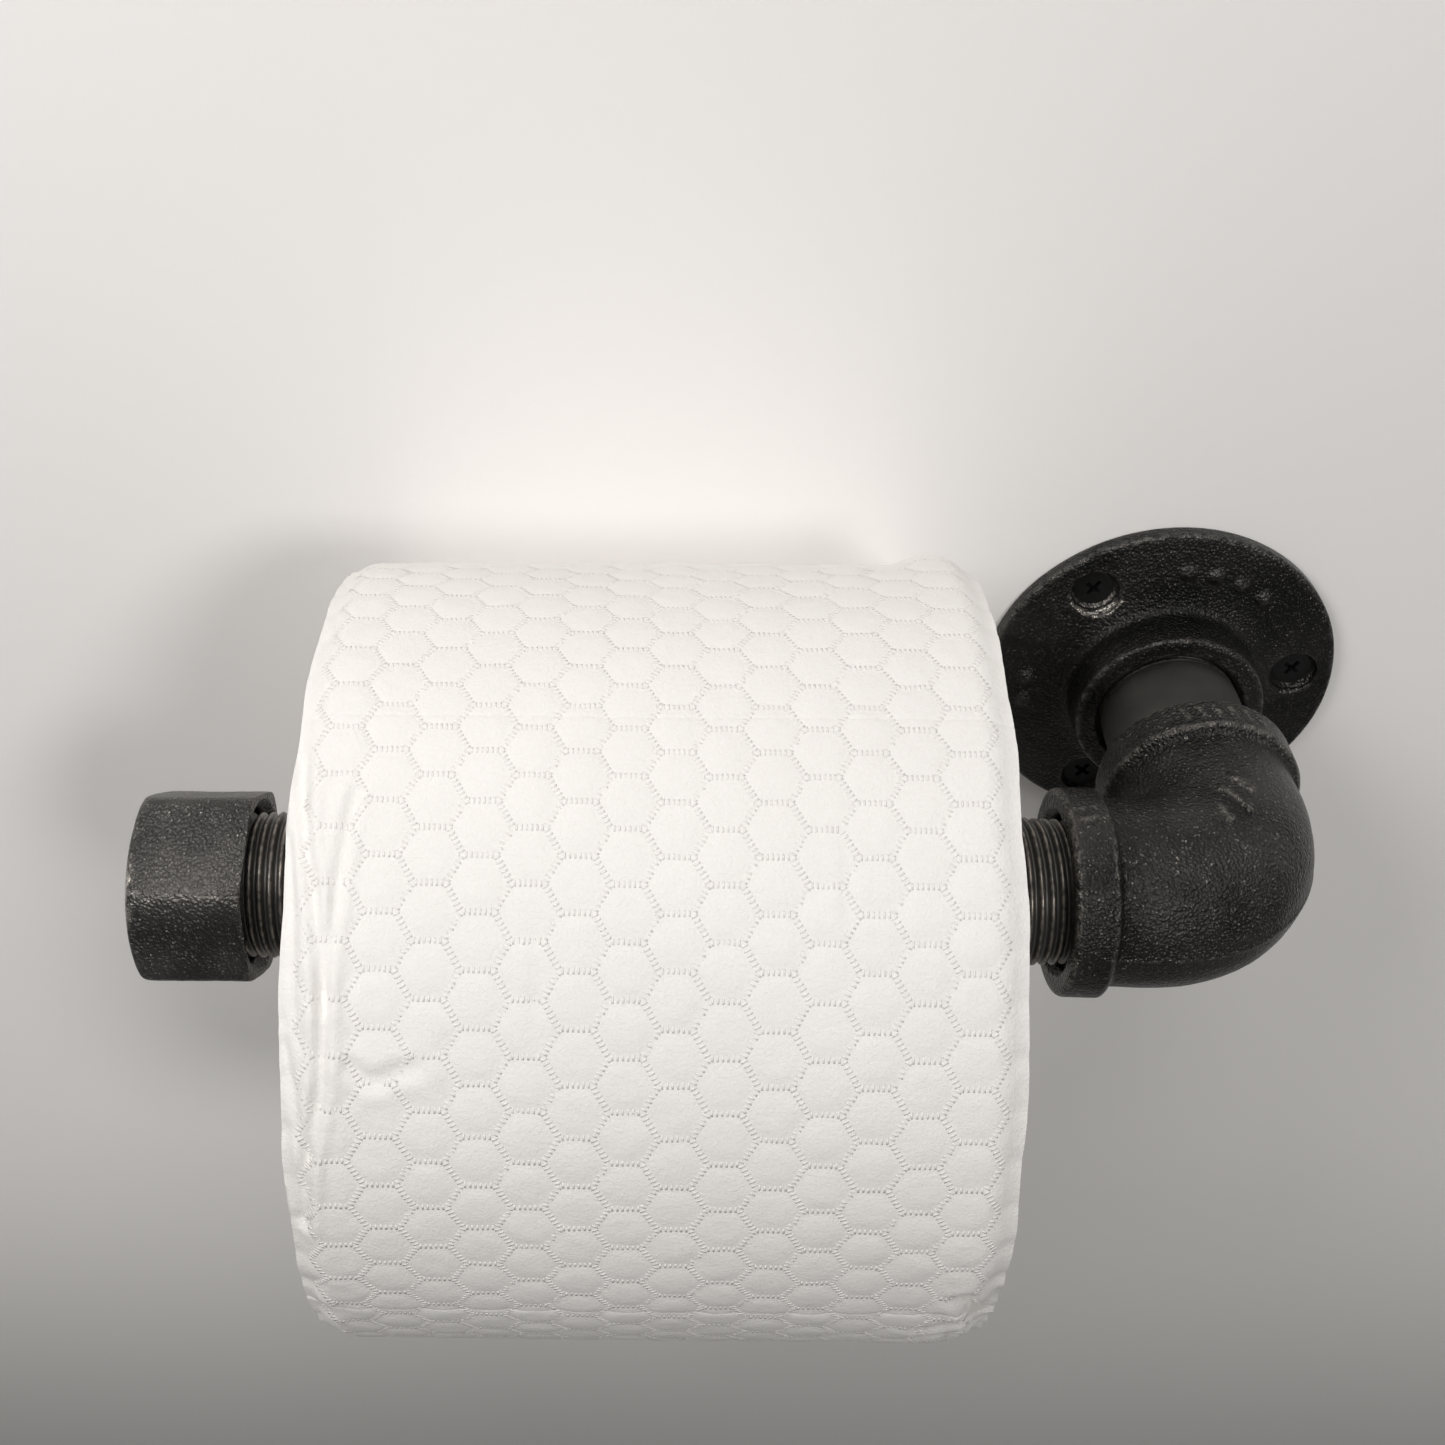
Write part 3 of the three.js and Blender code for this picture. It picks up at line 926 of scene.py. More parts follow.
@dataclass
class WallFlange:
    """The floor flange on the wall. Sizes are in mm.

    Args:
        face: thickness of the plate at the hub.
        rim: thickness of the plate at its edge.
        hole: radius of the screw holes.
        sink: radius of their countersinks.
        screws: how many screws there are.
        hub_wall: thickness of the hub round the pipe.
        pip_ring: radius of the ring that the cast pips stand on.
        pip_turns: where the pips stand on it, in degrees from the right.
        pip_size: radius of a pip.
        pip_height: how far a pip stands proud.
        lip_wear: how much of the wear shows under the first hole.
        plate_wear: how much of it shows on the plate.
        other_wear: how much of it shows elsewhere.
        screw_sunk: how far a screw's head lies below the plate's face.
        blade: length, depth and width of one blade of the screws' cross recess.
        blade_taper: how much narrower a blade is at its bottom.
        blade_turn: how far the recess is turned, in degrees.
        plug_bore: radius of the hole in a wall plug.
        box: the flange's own box.
        places: (x, z) of each hole.
    """

    face: float = 4.4
    rim: float = 3.0
    hole: float = 3.0
    sink: float = 4.6
    screws: int = 3
    hub_wall: float = 4.95
    pip_ring: float = 27.0
    pip_turns: tuple[float, ...] = (87, 75, 63, 51, 177, 189)
    pip_size: float = 1.9
    pip_height: float = 0.85
    lip_wear: float = 1.4
    plate_wear: float = 0.14
    other_wear: float = 0.18
    screw_sunk: float = 1.2
    blade: tuple[float, float, float] = (4.6, 3.2, 1.15)
    blade_taper: float = 0.62
    blade_turn: float = 36.0
    plug_bore: float = 2.55
    box: NodeBox = field(default_factory=lambda: NodeBox.of("wall_flange"))
    places: list = field(default_factory=list)

    def __post_init__(self) -> None:
        """Works out the radii from the flange's and the standoff's boxes."""
        self.radius = self.box.size[0] / 2
        self.height = self.box.size[1]
        self.pipe = NodeBox.of("standoff_pipe").size[0] / 2
        self.hub = self.pipe + self.hub_wall
        self.axis = axis_from((0, 0, 0), (0, -1, 0), (1, 0, 0))
        for number in range(1, self.screws + 1):
            x, _, z = NodeBox.of(f"wall_screw_{number}").middle
            self.places.append((x, z))

    def marks(self) -> list[Stroke]:
        """Plain round pips cast on the plate, as (x, z) spots."""
        turns = [math.radians(degrees) for degrees in self.pip_turns]
        spots = [(self.pip_ring * math.cos(turn), self.pip_ring * math.sin(turn)) for turn in turns]
        return [Stroke((spot,), self.pip_size, self.pip_height) for spot in spots]

    def skin(self, length: np.ndarray, radius: np.ndarray, angle: np.ndarray) -> np.ndarray:
        """Makes the rim and the hub slightly uneven, as a sand casting is."""
        ring, lump, depth = 20, 9.0, 0.12
        places = np.stack([length, ring * np.cos(angle), ring * np.sin(angle)], -1)
        return radius + depth * field_noise(places, lump, 3.0) * (radius > self.pipe + 1.5)

    def build(self) -> bpy.types.Object:
        """Builds the flange with its marks and its three countersunk holes."""
        bore = self.pipe + THREAD_ROOM
        profile = rounded_profile(
            [
                (0, bore, 0),
                (0, self.radius, 0.5),
                (self.rim, self.radius, 0.9),
                (self.face, self.hub + 3.0, 2.0),
                (self.face + 0.9, self.hub + 0.2, 1.6),
                (self.height - 0.1, self.hub - 0.1, 0.8),
                (self.height, bore + 1.0, 0.5),
                (self.height - 1.2, bore, 0.3),
            ],
            0.6,
            loop=True,
        )
        angles = np.linspace(0.0, TURN, CASTING_FACETS, endpoint=False)
        length, angle = np.meshgrid(profile[:, 0], angles, indexing="ij")
        radius = self.skin(length, np.broadcast_to(profile[:, 1:2], length.shape), angle)
        x, z = radius * np.cos(angle), radius * np.sin(angle)
        on_face = (length > self.rim - 0.3) & (length < self.face + 0.6)
        relief = np.zeros(length.shape)
        for stroke in self.marks():
            relief = np.maximum(relief, stroke.relief(x, z))
        uneven = 0.08 * field_noise(np.stack([x, z], -1), 5.0, 8.0)
        length = length + np.where(on_face, relief + uneven, 0.0)
        points = self.axis.place(length, radius, angle)
        flange = make_object("wall_flange_cast", points, grid_faces(len(profile), len(angles), True))
        drill(flange, [self.drill_bit(x, z) for x, z in self.places])
        paint_wear(flange, 1, self.rubbed)
        return flange

    def rubbed(self, spots: np.ndarray) -> np.ndarray:
        """Returns how much of the wear shows at each point: most of all under the first hole."""
        x, z = self.places[0]
        off_hole = np.hypot(spots[:, 0] - x, spots[:, 2] - z)
        lip = (off_hole > self.hole) & (off_hole < self.sink + 1.0) & (spots[:, 2] < z - 1.0)
        away = np.hypot(spots[:, 0], spots[:, 2])
        on_plate = (away > self.hub + 3.5) & (away < self.radius - 3.0)
        return np.where(lip, self.lip_wear, np.where(on_plate, self.plate_wear, self.other_wear))

    def drill_bit(self, x: float, z: float) -> bpy.types.Object:
        """A cutter for one screw hole, whose lip is slightly rounded."""
        surface = self.rim + (self.face - self.rim) * 0.5
        profile = rounded_profile(
            [
                (-2, 0, 0),
                (-2, self.hole, 0),
                (surface - 3.0, self.hole, 0),
                (surface - 1.0, self.sink - 0.1, 0.4),
                (surface - 0.35, self.sink, 0.3),
                (surface + 0.6, self.sink + 0.8, 0.4),
                (surface + 6, self.sink + 1.5, 0),
                (surface + 6, 0, 0),
            ],
            3.0,
        )
        axis = axis_from((x, 0, z), (0, -1, 0), (1, 0, 0))
        return turned("drill_bit", axis, profile, 64, loop=False)

    def screw(self) -> bpy.types.Object:
        """One countersunk screw at the origin, with a cross recess and a coarse thread."""
        box = NodeBox.of("wall_screw_1")
        head, back = -box.low[1] - self.screw_sunk, -box.high[1]
        outer = box.size[0] / 2 - 0.2
        profile = rounded_profile(
            [
                (back, 0, 0),
                (back + 5, 1.9, 0.5),
                (-1.5, 2.1, 0),
                (head - 3.4, 2.2, 0.3),
                (head - 0.5, outer, 0.3),
                (head - 0.05, outer - 0.25, 0.3),
                (head + 0.05, 0, 0),
            ],
            0.3,
        )

        def thread(length: np.ndarray, radius: np.ndarray, angle: np.ndarray) -> np.ndarray:
            """Adds a wood-screw thread behind the wall's face."""
            pitch = 2.2
            phase = (length / pitch - angle / TURN) % 1.0
            crest = np.exp(-(((phase - 0.5) / 0.11) ** 2))
            on = smoothstep(0.0, 1.5, -length) * smoothstep(0.2, 1.6, radius)
            return radius - 0.35 * on + 0.75 * crest * on

        axis = axis_from((0, 0, 0), (0, -1, 0), (1, 0, 0))
        screw = turned("screw_master", axis, profile, 40, False, thread)
        drill(screw, [self.recess(-head, quarter) for quarter in range(2)])
        paint_wear(screw)
        return screw

    def recess(self, y: float, quarter: int) -> bpy.types.Object:
        """One blade of the cross recess, narrower at its bottom."""
        long, deep, wide = self.blade
        cutter = bmesh.new()
        bmesh.ops.create_cube(cutter, size=1.0)
        for vert in cutter.verts:
            share = self.blade_taper if vert.co.y > 0 else 1.0
            vert.co = Vector((vert.co.x * long * share, vert.co.y * deep, vert.co.z * wide * share))
        turn = Matrix.Rotation(math.radians(self.blade_turn + 90 * quarter), 4, "Y")
        place = Matrix.Scale(MM, 4) @ Matrix.Translation((0, y, 0)) @ turn
        bmesh.ops.transform(cutter, matrix=place, verts=cutter.verts)
        mesh = bpy.data.meshes.new("recess")
        cutter.to_mesh(mesh)
        cutter.free()
        blade = bpy.data.objects.new("recess", mesh)
        bpy.context.scene.collection.objects.link(blade)
        return blade

    def plug(self) -> bpy.types.Object:
        """One ribbed wall plug at the origin."""
        box = NodeBox.of("wall_plug_1")
        outer, deep = box.size[0] / 2, box.high[1]
        profile = rounded_profile(
            [
                (0.3, self.plug_bore, 0),
                (0.3, outer, 0.2),
                (1.2, outer, 0.2),
                (1.4, outer - 0.8, 0.2),
                (deep - 3, outer - 0.9, 0.6),
                (deep, outer - 1.9, 0.3),
                (deep, self.plug_bore, 0),
            ],
            0.5,
            loop=True,
        )

        def ribs(length: np.ndarray, radius: np.ndarray, angle: np.ndarray) -> np.ndarray:
            """Adds saw-tooth ribs and two slots down the sides."""
            pitch = 2.6
            outside = (radius > 3.0) & (length > 2.5) & (length < deep - 2)
            tooth = (length / pitch) % 1.0
            slot = smoothstep(0.9, 1.0, np.abs(np.cos(angle)))
            return radius - np.where(outside, 0.45 * tooth + 0.35 * slot, 0.0)

        axis = axis_from((0, 0, 0), (0, 1, 0), (1, 0, 0))
        return turned("plug_master", axis, profile, 48, True, ribs)

    def dress_all(
        self, iron: bpy.types.Material, screw: bpy.types.Material, nylon: bpy.types.Material
    ) -> None:
        """Builds and dresses the flange and its fixings."""
        dress(self.build(), iron, Body.HOLDER, ["wall_flange"])
        tree = fixings_tree()
        fixings = (
            ("wall_screws", self.screw(), screw, Slot.SCREW, "wall_screw_"),
            ("wall_plugs", self.plug(), nylon, Slot.PLUG, "wall_plug_"),
        )
        for name, master, material, slot, nodes in fixings:
            spots = bpy.data.meshes.new("spots")
            spots.from_pydata([(x * MM, 0.0, z * MM) for x, z in self.places], [], [])
            mesh = run_tree(name, spots, tree, {"Fixing": master, "Material": material})
            bpy.data.objects.remove(master)
            numbers = range(1, self.screws + 1)
            dress(show(name, mesh), material, Body.HOLDER, [f"{nodes}{n}" for n in numbers])


# ---------------------------------------------------------------------------------------------
# Pipes


@dataclass
class Pipes:
    """The standoff pipe and the arm pipe. Sizes are in mm.

    Args:
        pitch: the thread's pitch, 14 to the inch.
        thread_depth: depth of the thread.
        taper: how much the radius shrinks along the thread.
        standoff_thread: length of thread at each end of the standoff.
        arm_thread: length of thread at each end of the arm.
        rows_per_pitch: rows of the mesh in each turn of the thread.
        columns: columns of the mesh round the pipe, the first and the last in one place.
    """

    pitch: float = 25.4 / 14
    thread_depth: float = 1.0
    taper: float = 1 / 32
    standoff_thread: float = 14.0
    arm_thread: float = 34.0
    rows_per_pitch: int = 11
    columns: int = 97

    def build(
        self, tree: bpy.types.NodeTree, node: str, thread: float, material: bpy.types.Material
    ) -> bpy.types.Object:
        """Runs the pipe tree between the ends of a CAD node.

        Args:
            tree: the threaded pipe tree.
            node: the CAD node that the pipe stands for.
            thread: length of thread at each end.
            material: the pipe's material.
        """
        box = NodeBox.of(node)
        lengthwise = int(np.argmax(box.size))
        radius = sorted(box.size)[0] / 2
        start, end = box.low[lengthwise], box.high[lengthwise]
        values = {
            "Radius": radius * MM,
            "Bore Radius": (radius - PIPE_WALL) * MM,
            "Start": start * MM,
            "End": end * MM,
            "Thread Length": thread * MM,
            "Pitch": self.pitch * MM,
            "Thread Depth": self.thread_depth * MM,
            "Taper": self.taper,
            "Rows": int((end - start) / self.pitch * self.rows_per_pitch),
            "Columns": self.columns,
            "Material": material,
        }
        mesh = run_tree(f"{node}_threaded", bpy.data.meshes.new("empty"), tree, values)
        lie = Matrix.Identity(4) if lengthwise == 0 else Matrix.Rotation(math.pi / 2, 4, "Z")
        shift = box.middle.copy()
        shift[lengthwise] = 0.0
        mesh.transform(Matrix.Translation(Vector(shift * MM)) @ lie)
        pipe = show(f"{node}_threaded", mesh, 60.0)
        paint_wear(pipe)
        return pipe

    def dress_all(self, pipe: bpy.types.Material) -> None:
        """Builds and dresses both pipes."""
        tree = threaded_pipe_tree()
        standoff = self.build(tree, "standoff_pipe", self.standoff_thread, pipe)
        dress(standoff, pipe, Body.HOLDER, ["standoff_pipe"])
        arm = self.build(tree, "arm_pipe", self.arm_thread, pipe)
        dress(arm, pipe, Body.HOLDER, ["arm_pipe"])


# ---------------------------------------------------------------------------------------------
# Elbow


@dataclass
class Elbow:
    """The cast elbow, drawn as a profile that follows a bent centre line. Sizes are in mm.

    Args:
        reach: from the crossing of its axes to each mouth.
        bend: radius of the centre line's bend.
        body: radius of the body next to a band.
        bulge: how much further the outside of the bend stands out.
        band: radius of the bands.
        band_width: width of the bands.
        socket: how deep a pipe goes into a mouth.
        bar_top: where the marks on the body stand, along its skin from the outside of the bend.
        seam: how far the parting seam stands proud.
    """

    reach: float = 32.0
    bend: float = 17.5
    body: float = 16.3
    bulge: float = 1.1
    band: float = 18.2
    band_width: float = 7.2
    socket: float = 13.0
    bar_top: float = 24.0
    seam: float = 0.22

    def __post_init__(self) -> None:
        """Finds where the arm's and the standoff's axes cross."""
        arm, standoff = NodeBox.of("arm_pipe"), NodeBox.of("standoff_pipe")
        self.pipe = arm.size[1] / 2
        self.crossing = np.array([standoff.middle[0], arm.middle[1], arm.middle[2]])
        self.straight = self.reach - self.bend
        self.arc = self.bend * math.pi / 2
        self.total = 2 * self.straight + self.arc

    def centre_line(self, length: np.ndarray) -> tuple[np.ndarray, np.ndarray]:
        """Returns the centre line's points and its outward direction, from the arm's mouth."""
        angle = np.clip((length - self.straight) / self.bend, 0.0, math.pi / 2)
        before = np.minimum(length - self.straight, 0.0)
        after = np.maximum(length - self.straight - self.arc, 0.0)
        x = -self.bend + before + self.bend * np.sin(angle)
        y = self.bend - self.bend * np.cos(angle) + after
        zero = np.zeros_like(x)
        outward = np.stack([np.sin(angle), -np.cos(angle), zero], -1)
        return self.crossing + np.stack([x, y, zero], -1), outward

    def marks(self) -> list[Stroke]:
        """Plain foundry marks on the body's top: three slanting bars."""
        top, slant = self.bar_top, 0.8
        strokes = []
        for shift, half in ((-4.0, 1.6), (0.0, 2.6), (4.0, 1.6)):
            middle = self.total * 0.56 + shift
            strokes.append(Stroke(((middle - slant, top - half), (middle + slant, top + half)), 0.95, 0.5))
        return strokes

    def band_marks(self) -> list[Stroke]:
        """Even short bars cast round the wall-side band, and two on the arm-side band."""
        half, slant = 1.1, 0.6
        rear = self.total - self.band_width / 2
        spots = [(rear, 19.0 + k * 2.9) for k in range(6)]
        spots += [(self.band_width / 2, 27.0 + k * 2.6) for k in range(2)]
        return [Stroke(((s - half, arc), (s + half, arc + slant)), 0.75, 0.38) for s, arc in spots]

    def build(self) -> bpy.types.Object:
        """Builds the elbow's outside, its mouths and its passage in one closed shell."""
        bore, passage = self.pipe + THREAD_ROOM, self.pipe - PIPE_WALL
        half = [
            (self.socket, passage, 0.4),
            (self.socket, bore - 0.9, 0.4),
            (1.3, bore, 0.3),
            (0.0, bore + 1.3, 0.4),
            (0.0, self.band, 1.3),
            (self.band_width, self.band, 0.9),
            (self.band_width + 0.9, self.body, 0.8),
        ]
        outside = half + [(self.total - s, r, c) for s, r, c in reversed(half)]
        profile = rounded_profile(outside, 0.45, loop=True)
        angles = np.linspace(0.0, TURN, CASTING_FACETS, endpoint=False)
        length, angle = np.meshgrid(profile[:, 0], angles, indexing="ij")
        radius = np.broadcast_to(profile[:, 1:2], length.shape).copy()
        skin = radius > bore + 1.6
        bent = np.clip((length - self.straight * 0.6) / (self.total - 1.2 * self.straight), 0.0, 1.0)
        facing = np.maximum(np.cos(angle), 0.0)
        body = skin & (radius < self.body + 0.3)
        radius += np.where(body, self.bulge * np.sin(math.pi * bent) ** 2 * facing**0.7, 0.0)
        centre, outward = self.centre_line(length)
        upward = np.zeros_like(centre)
        upward[..., 2] = 1.0
        radial = np.cos(angle)[..., None] * outward + np.sin(angle)[..., None] * upward
        around = radius * angle
        relief = np.zeros(length.shape)
        for stroke in self.marks():
            relief = np.maximum(relief, np.where(body, stroke.relief(length, around), 0.0))
        for stroke in self.band_marks():
            relief = np.maximum(relief, np.where(skin, stroke.relief(length, around), 0.0))
        seam_arc = np.minimum(around, radius * TURN - around)
        seam = self.seam * np.exp(-((seam_arc / 0.55) ** 2)) * body
        spots = centre + radius[..., None] * radial
        uneven = 0.16 * field_noise(spots, 8.0, 1.0) + 0.05 * field_noise(spots, 1.6, 5.0)
        radius = radius + np.where(skin, relief + seam + uneven, 0.0)
        points = centre + radius[..., None] * radial
        elbow = make_object("elbow_cast", points, grid_faces(len(profile), len(angles), True))
        paint_wear(elbow)
        return elbow

    def dress_all(self, iron: bpy.types.Material) -> None:
        """Builds and dresses the elbow."""
        dress(self.build(), iron, Body.HOLDER, ["elbow"])


# ---------------------------------------------------------------------------------------------
# Hexagonal cap


@dataclass
class HexCap:
    """The cast cap on the arm's end. Sizes are in mm.

    Args:
        flats: across the hexagon's flats.
        first_corner: the angle of one corner, up from the front, in degrees.
        sharpness: how crisp the hexagon's corners are; higher is crisper.
        rim_sharpness: how crisp the edges are where the ends meet the flats.
        depth: depth of the threaded bore.
        least_wear: how much of the wear shows away from the front ridge.
        facets: facets round the cap.
    """

    flats: float = 31.8
    first_corner: float = 37.0
    sharpness: float = 30.0
    rim_sharpness: float = 34.0
    depth: float = 14.4
    least_wear: float = 0.12
    facets: int = 288

    def __post_init__(self) -> None:
        """Reads the cap's place along the arm."""
        box, arm = NodeBox.of("end_cap"), NodeBox.of("arm_pipe")
        self.length = box.size[0]
        self.pipe = arm.size[1] / 2
        self.axis = axis_from((box.high[0], arm.middle[1], arm.middle[2]), (-1, 0, 0), (0, -1, 0))

    def hexagon(self, angle: np.ndarray) -> np.ndarray:
        """Returns the hexagon's radius at each angle from the front, with softened corners."""
        first_flat = math.radians(self.first_corner + 30.0)
        off_flats = [angle - first_flat - k * TURN / 6 for k in range(6)]
        total = sum(np.maximum(np.cos(off), 0.0) ** self.sharpness for off in off_flats)
        return self.flats / 2 / total ** (1 / self.sharpness)

    def build(self) -> bpy.types.Object:
        """Builds the cap with a softly domed outer end and a threaded bore."""
        bore = self.pipe + THREAD_ROOM
        corner = self.flats / math.sqrt(3)
        profile = rounded_profile(
            [
                (self.depth, 0, 0),
                (self.depth, bore - 0.8, 0.3),
                (1.6, bore, 0.4),
                (0.0, bore + 1.6, 0.3),
                (0.0, corner, 1.0),
                (self.length - 2.0, corner, 2.6),
                (self.length - 0.4, corner - 3.6, 2.0),
                (self.length, 0, 0),
            ],
            0.45,
        )

        def shape(length: np.ndarray, radius: np.ndarray, angle: np.ndarray) -> np.ndarray:
            """Holds the round profile inside the hexagon, and makes the casting uneven."""
            side = self.hexagon(angle)
            power = self.rim_sharpness
            held = (np.maximum(radius, 1e-3) ** -power + side**-power) ** (-1 / power)
            outside = radius > bore + 1.7
            spots = self.axis.place(length, radius, angle)
            uneven = 0.14 * field_noise(spots, 6.0, 2.0) + 0.06 * field_noise(spots, 1.5, 7.0)
            return np.where(outside, held + uneven, np.minimum(radius, side - 0.4))

        cap = turned("end_cap_cast", self.axis, profile, self.facets, False, shape)
        paint_wear(cap, 5, self.handled)
        return cap

    def handled(self, spots: np.ndarray) -> np.ndarray:
        """Returns how much of the wear shows at each point: all of it on the front ridge only."""
        across = spots - self.axis.start
        angle = np.arctan2(across @ self.axis.side, across @ self.axis.up)
        off_ridge = np.abs(angle - math.radians(self.first_corner))
        inside = smoothstep(0.6, 2.2, across @ self.axis.along)
        on_ridge = inside * (1.0 - smoothstep(0.16, 0.4, off_ridge))
        return self.least_wear + (1.0 - self.least_wear) * on_ridge

    def dress_all(self, iron: bpy.types.Material) -> None:
        """Builds and dresses the cap."""
        dress(self.build(), iron, Body.CAP, ["end_cap"])


# ---------------------------------------------------------------------------------------------
# Paper roll


@dataclass
class PaperRoll:
    """The wound paper, its embossed outermost turn and the cardboard core. Sizes are in mm.

    A place on the outermost turn is (x, s): x along the roll from its left end, and s along the
    paper from the loose end, over the front and round.

    Args:
        cell: side of the embossed hexagons.
        puff: how far the middle of a cell stands above its edges.
        ply: thickness of the two-ply paper.
        sheet: length of one sheet between perforations.
        first_tear: from the loose end to the first perforation.
        tail_angle: where the loose end lies, in degrees up from the wall side.
        rise: how much lower the outermost turn lies where it runs under its own loose end.
        end_gap: how far short of its own loose end the outermost turn stops.
        corner: rounding of the loose end's right corner.
        turn: thickness of one bundle of turns that shows at the roll's ends.
        step: the mesh's spacing on the paper.
    """

    cell: float = 4.67
    puff: float = 0.36
    ply: float = 0.24
    sheet: float = 101.0
    first_tear: float = 54.6
    tail_angle: float = 57.0
    rise: float = 0.6
    end_gap: float = 4.0
    corner: float = 10.0
    turn: float = 0.95
    step: float = 1.05

    def __post_init__(self) -> None:
        """Reads the roll's place and size."""
        box, core = NodeBox.of("paper_roll"), NodeBox.of("roll_core")
        self.left, self.width = box.low[0], box.size[0]
        self.centre = core.middle
        self.core_radius = core.size[2] / 2
        self.outer = box.size[2] / 2 + 0.25
        self.length = TURN * self.outer

    def creases(self) -> list[Stroke]:
        """The folds and dents that handling has left in the outermost turn."""
        edge_fold = ((1.2, 62), (3.4, 76), (5.4, 88), (6.6, 99), (6.0, 110), (4.0, 121), (2.2, 134))
        return [
            Stroke(edge_fold, 0.85, -0.7),
            Stroke(((9.6, 68), (8.3, 79), (7.2, 90), (6.6, 99)), 0.8, -0.5),
            Stroke(((0.6, 104), (2.6, 115), (4.0, 122)), 0.7, -0.4),
            Stroke(((0.4, 74), (1.8, 90), (2.4, 100)), 0.6, -0.35),
            Stroke(((10.4, 107.0), (13.2, 109.2), (16.4, 107.8), (19.6, 107.0)), 1.1, -0.5),
            Stroke(((79.4, 73), (80.2, 79), (79.8, 86)), 0.8, -0.2),
            Stroke(((36.0, 84), (36.6, 94), (36.2, 104)), 0.8, -0.16),
            Stroke(((99.5, 150), (102.5, 157), (105, 168)), 1.2, -0.7),
            Stroke(((94, 163), (98.5, 160), (104, 158)), 1.1, -0.5),
            Stroke(((97, 172), (101, 168), (105.5, 169)), 1.1, -0.6),
        ]

    def cell_height(self, x: np.ndarray, s: np.ndarray) -> np.ndarray:
        """Returns the quilted height: 0 on the edges of the hexagons, up to puff inside them."""
        pitch_x, pitch_s = 1.5 * self.cell, math.sqrt(3) * self.cell
        best = np.full(x.shape, np.inf)
        column = np.round(x / pitch_x)
        for shift in (-1, 0, 1):
            col = column + shift
            offset = (col % 2) * pitch_s / 2
            row = np.round((s - offset) / pitch_s)
            dx, ds = np.abs(x - col * pitch_x), np.abs(s - offset - row * pitch_s)
            best = np.minimum(best, np.maximum(ds, dx * math.sqrt(3) / 2 + ds / 2))
        inward = pitch_s / 2 - best
        return self.puff * smoothstep(0.0, 1.8, inward)

    def height(self, x: np.ndarray, s: np.ndarray) -> np.ndarray:
        """Returns the whole height of the paper above its own turn."""
        places = np.stack([x, s], -1)
        height = self.cell_height(x, s) * (0.75 + 0.35 * field_noise(places, 18.0, 4.0))
        height += 0.22 * field_noise(places, 24.0, 9.0) + 0.13 * field_noise(places, 3.4, 11.0)
        height -= 1.9 * (1 - smoothstep(0.0, 4.6, np.minimum(x, self.width - x)))
        for crease in self.creases():
            height += crease.fold(x, s)
        crumple = smoothstep(94.0, 104.0, x) * smoothstep(138.0, 158.0, s)
        crumple *= 1 - smoothstep(184.0, 204.0, s)
        height += crumple * (1.1 * field_noise(places, 3.6, 2.0) - 0.8)
        lumps = (1 - smoothstep(2.0, 9.0, x)) * smoothstep(138.0, 150.0, s)
        lumps *= 1 - smoothstep(180.0, 196.0, s)
        height += lumps * 0.8 * field_noise(places, 4.2, 6.0)
        for number in range(int(self.length // self.sheet) + 1):
            tear = self.first_tear + number * self.sheet
            height -= 0.16 * np.exp(-(((s - tear) / 0.28) ** 2))
        return height

    def lift(self, x: np.ndarray, s: np.ndarray) -> np.ndarray:
        """Returns how far the loose end stands off the roll, most at its right corner."""
        corner = smoothstep(90.5, 98.5, x) * (1.0 - 0.35 * smoothstep(100.0, 107.0, x))
        near = np.clip(1.0 - s / 26.0, 0.0, 1.0)
        return 0.5 * np.exp(-s / 10.0) + 2.0 * corner * near**1.8

    def place(self, x: np.ndarray, s: np.ndarray, height: np.ndarray) -> np.ndarray:
        """Turns places on the paper into points in space."""
        angle = math.radians(self.tail_angle) + s / self.outer
        radius = self.outer - self.rise * s / self.length + height + self.lift(x, s)
        slip = 1.7 * np.exp(-((s / 46.0) ** 2)) * smoothstep(60.0, 106.0, x)
        ragged = 0.35 * field_noise(np.stack([s, np.zeros_like(s)], -1), 13.0, 3.0)
        across = self.left + x + slip + ragged * smoothstep(0.35, 0.5, np.abs(x / self.width - 0.5))
        y = self.centre[1] + radius * np.cos(angle)
        z = self.centre[2] + radius * np.sin(angle)
        return np.stack([across, y, z], -1)

    def spacing(self) -> tuple[np.ndarray, np.ndarray]:
        """Returns the grid's x and s values, closer at the creased left edge and at the perforations."""
        edge = np.arange(0.0, 12.0, self.step / 2)
        x = np.concatenate([edge, np.linspace(12.0, self.width, int((self.width - 12.0) / self.step))])
        end = self.length - self.end_gap
        s = list(np.linspace(0.0, end, int(end / self.step)))
        tear = self.first_tear
        while tear < end:
            s = [v for v in s if abs(v - tear) > 0.6] + [tear + d for d in (-0.5, -0.25, 0.0, 0.25, 0.5)]
            tear += self.sheet
        return x, np.array(sorted(s))

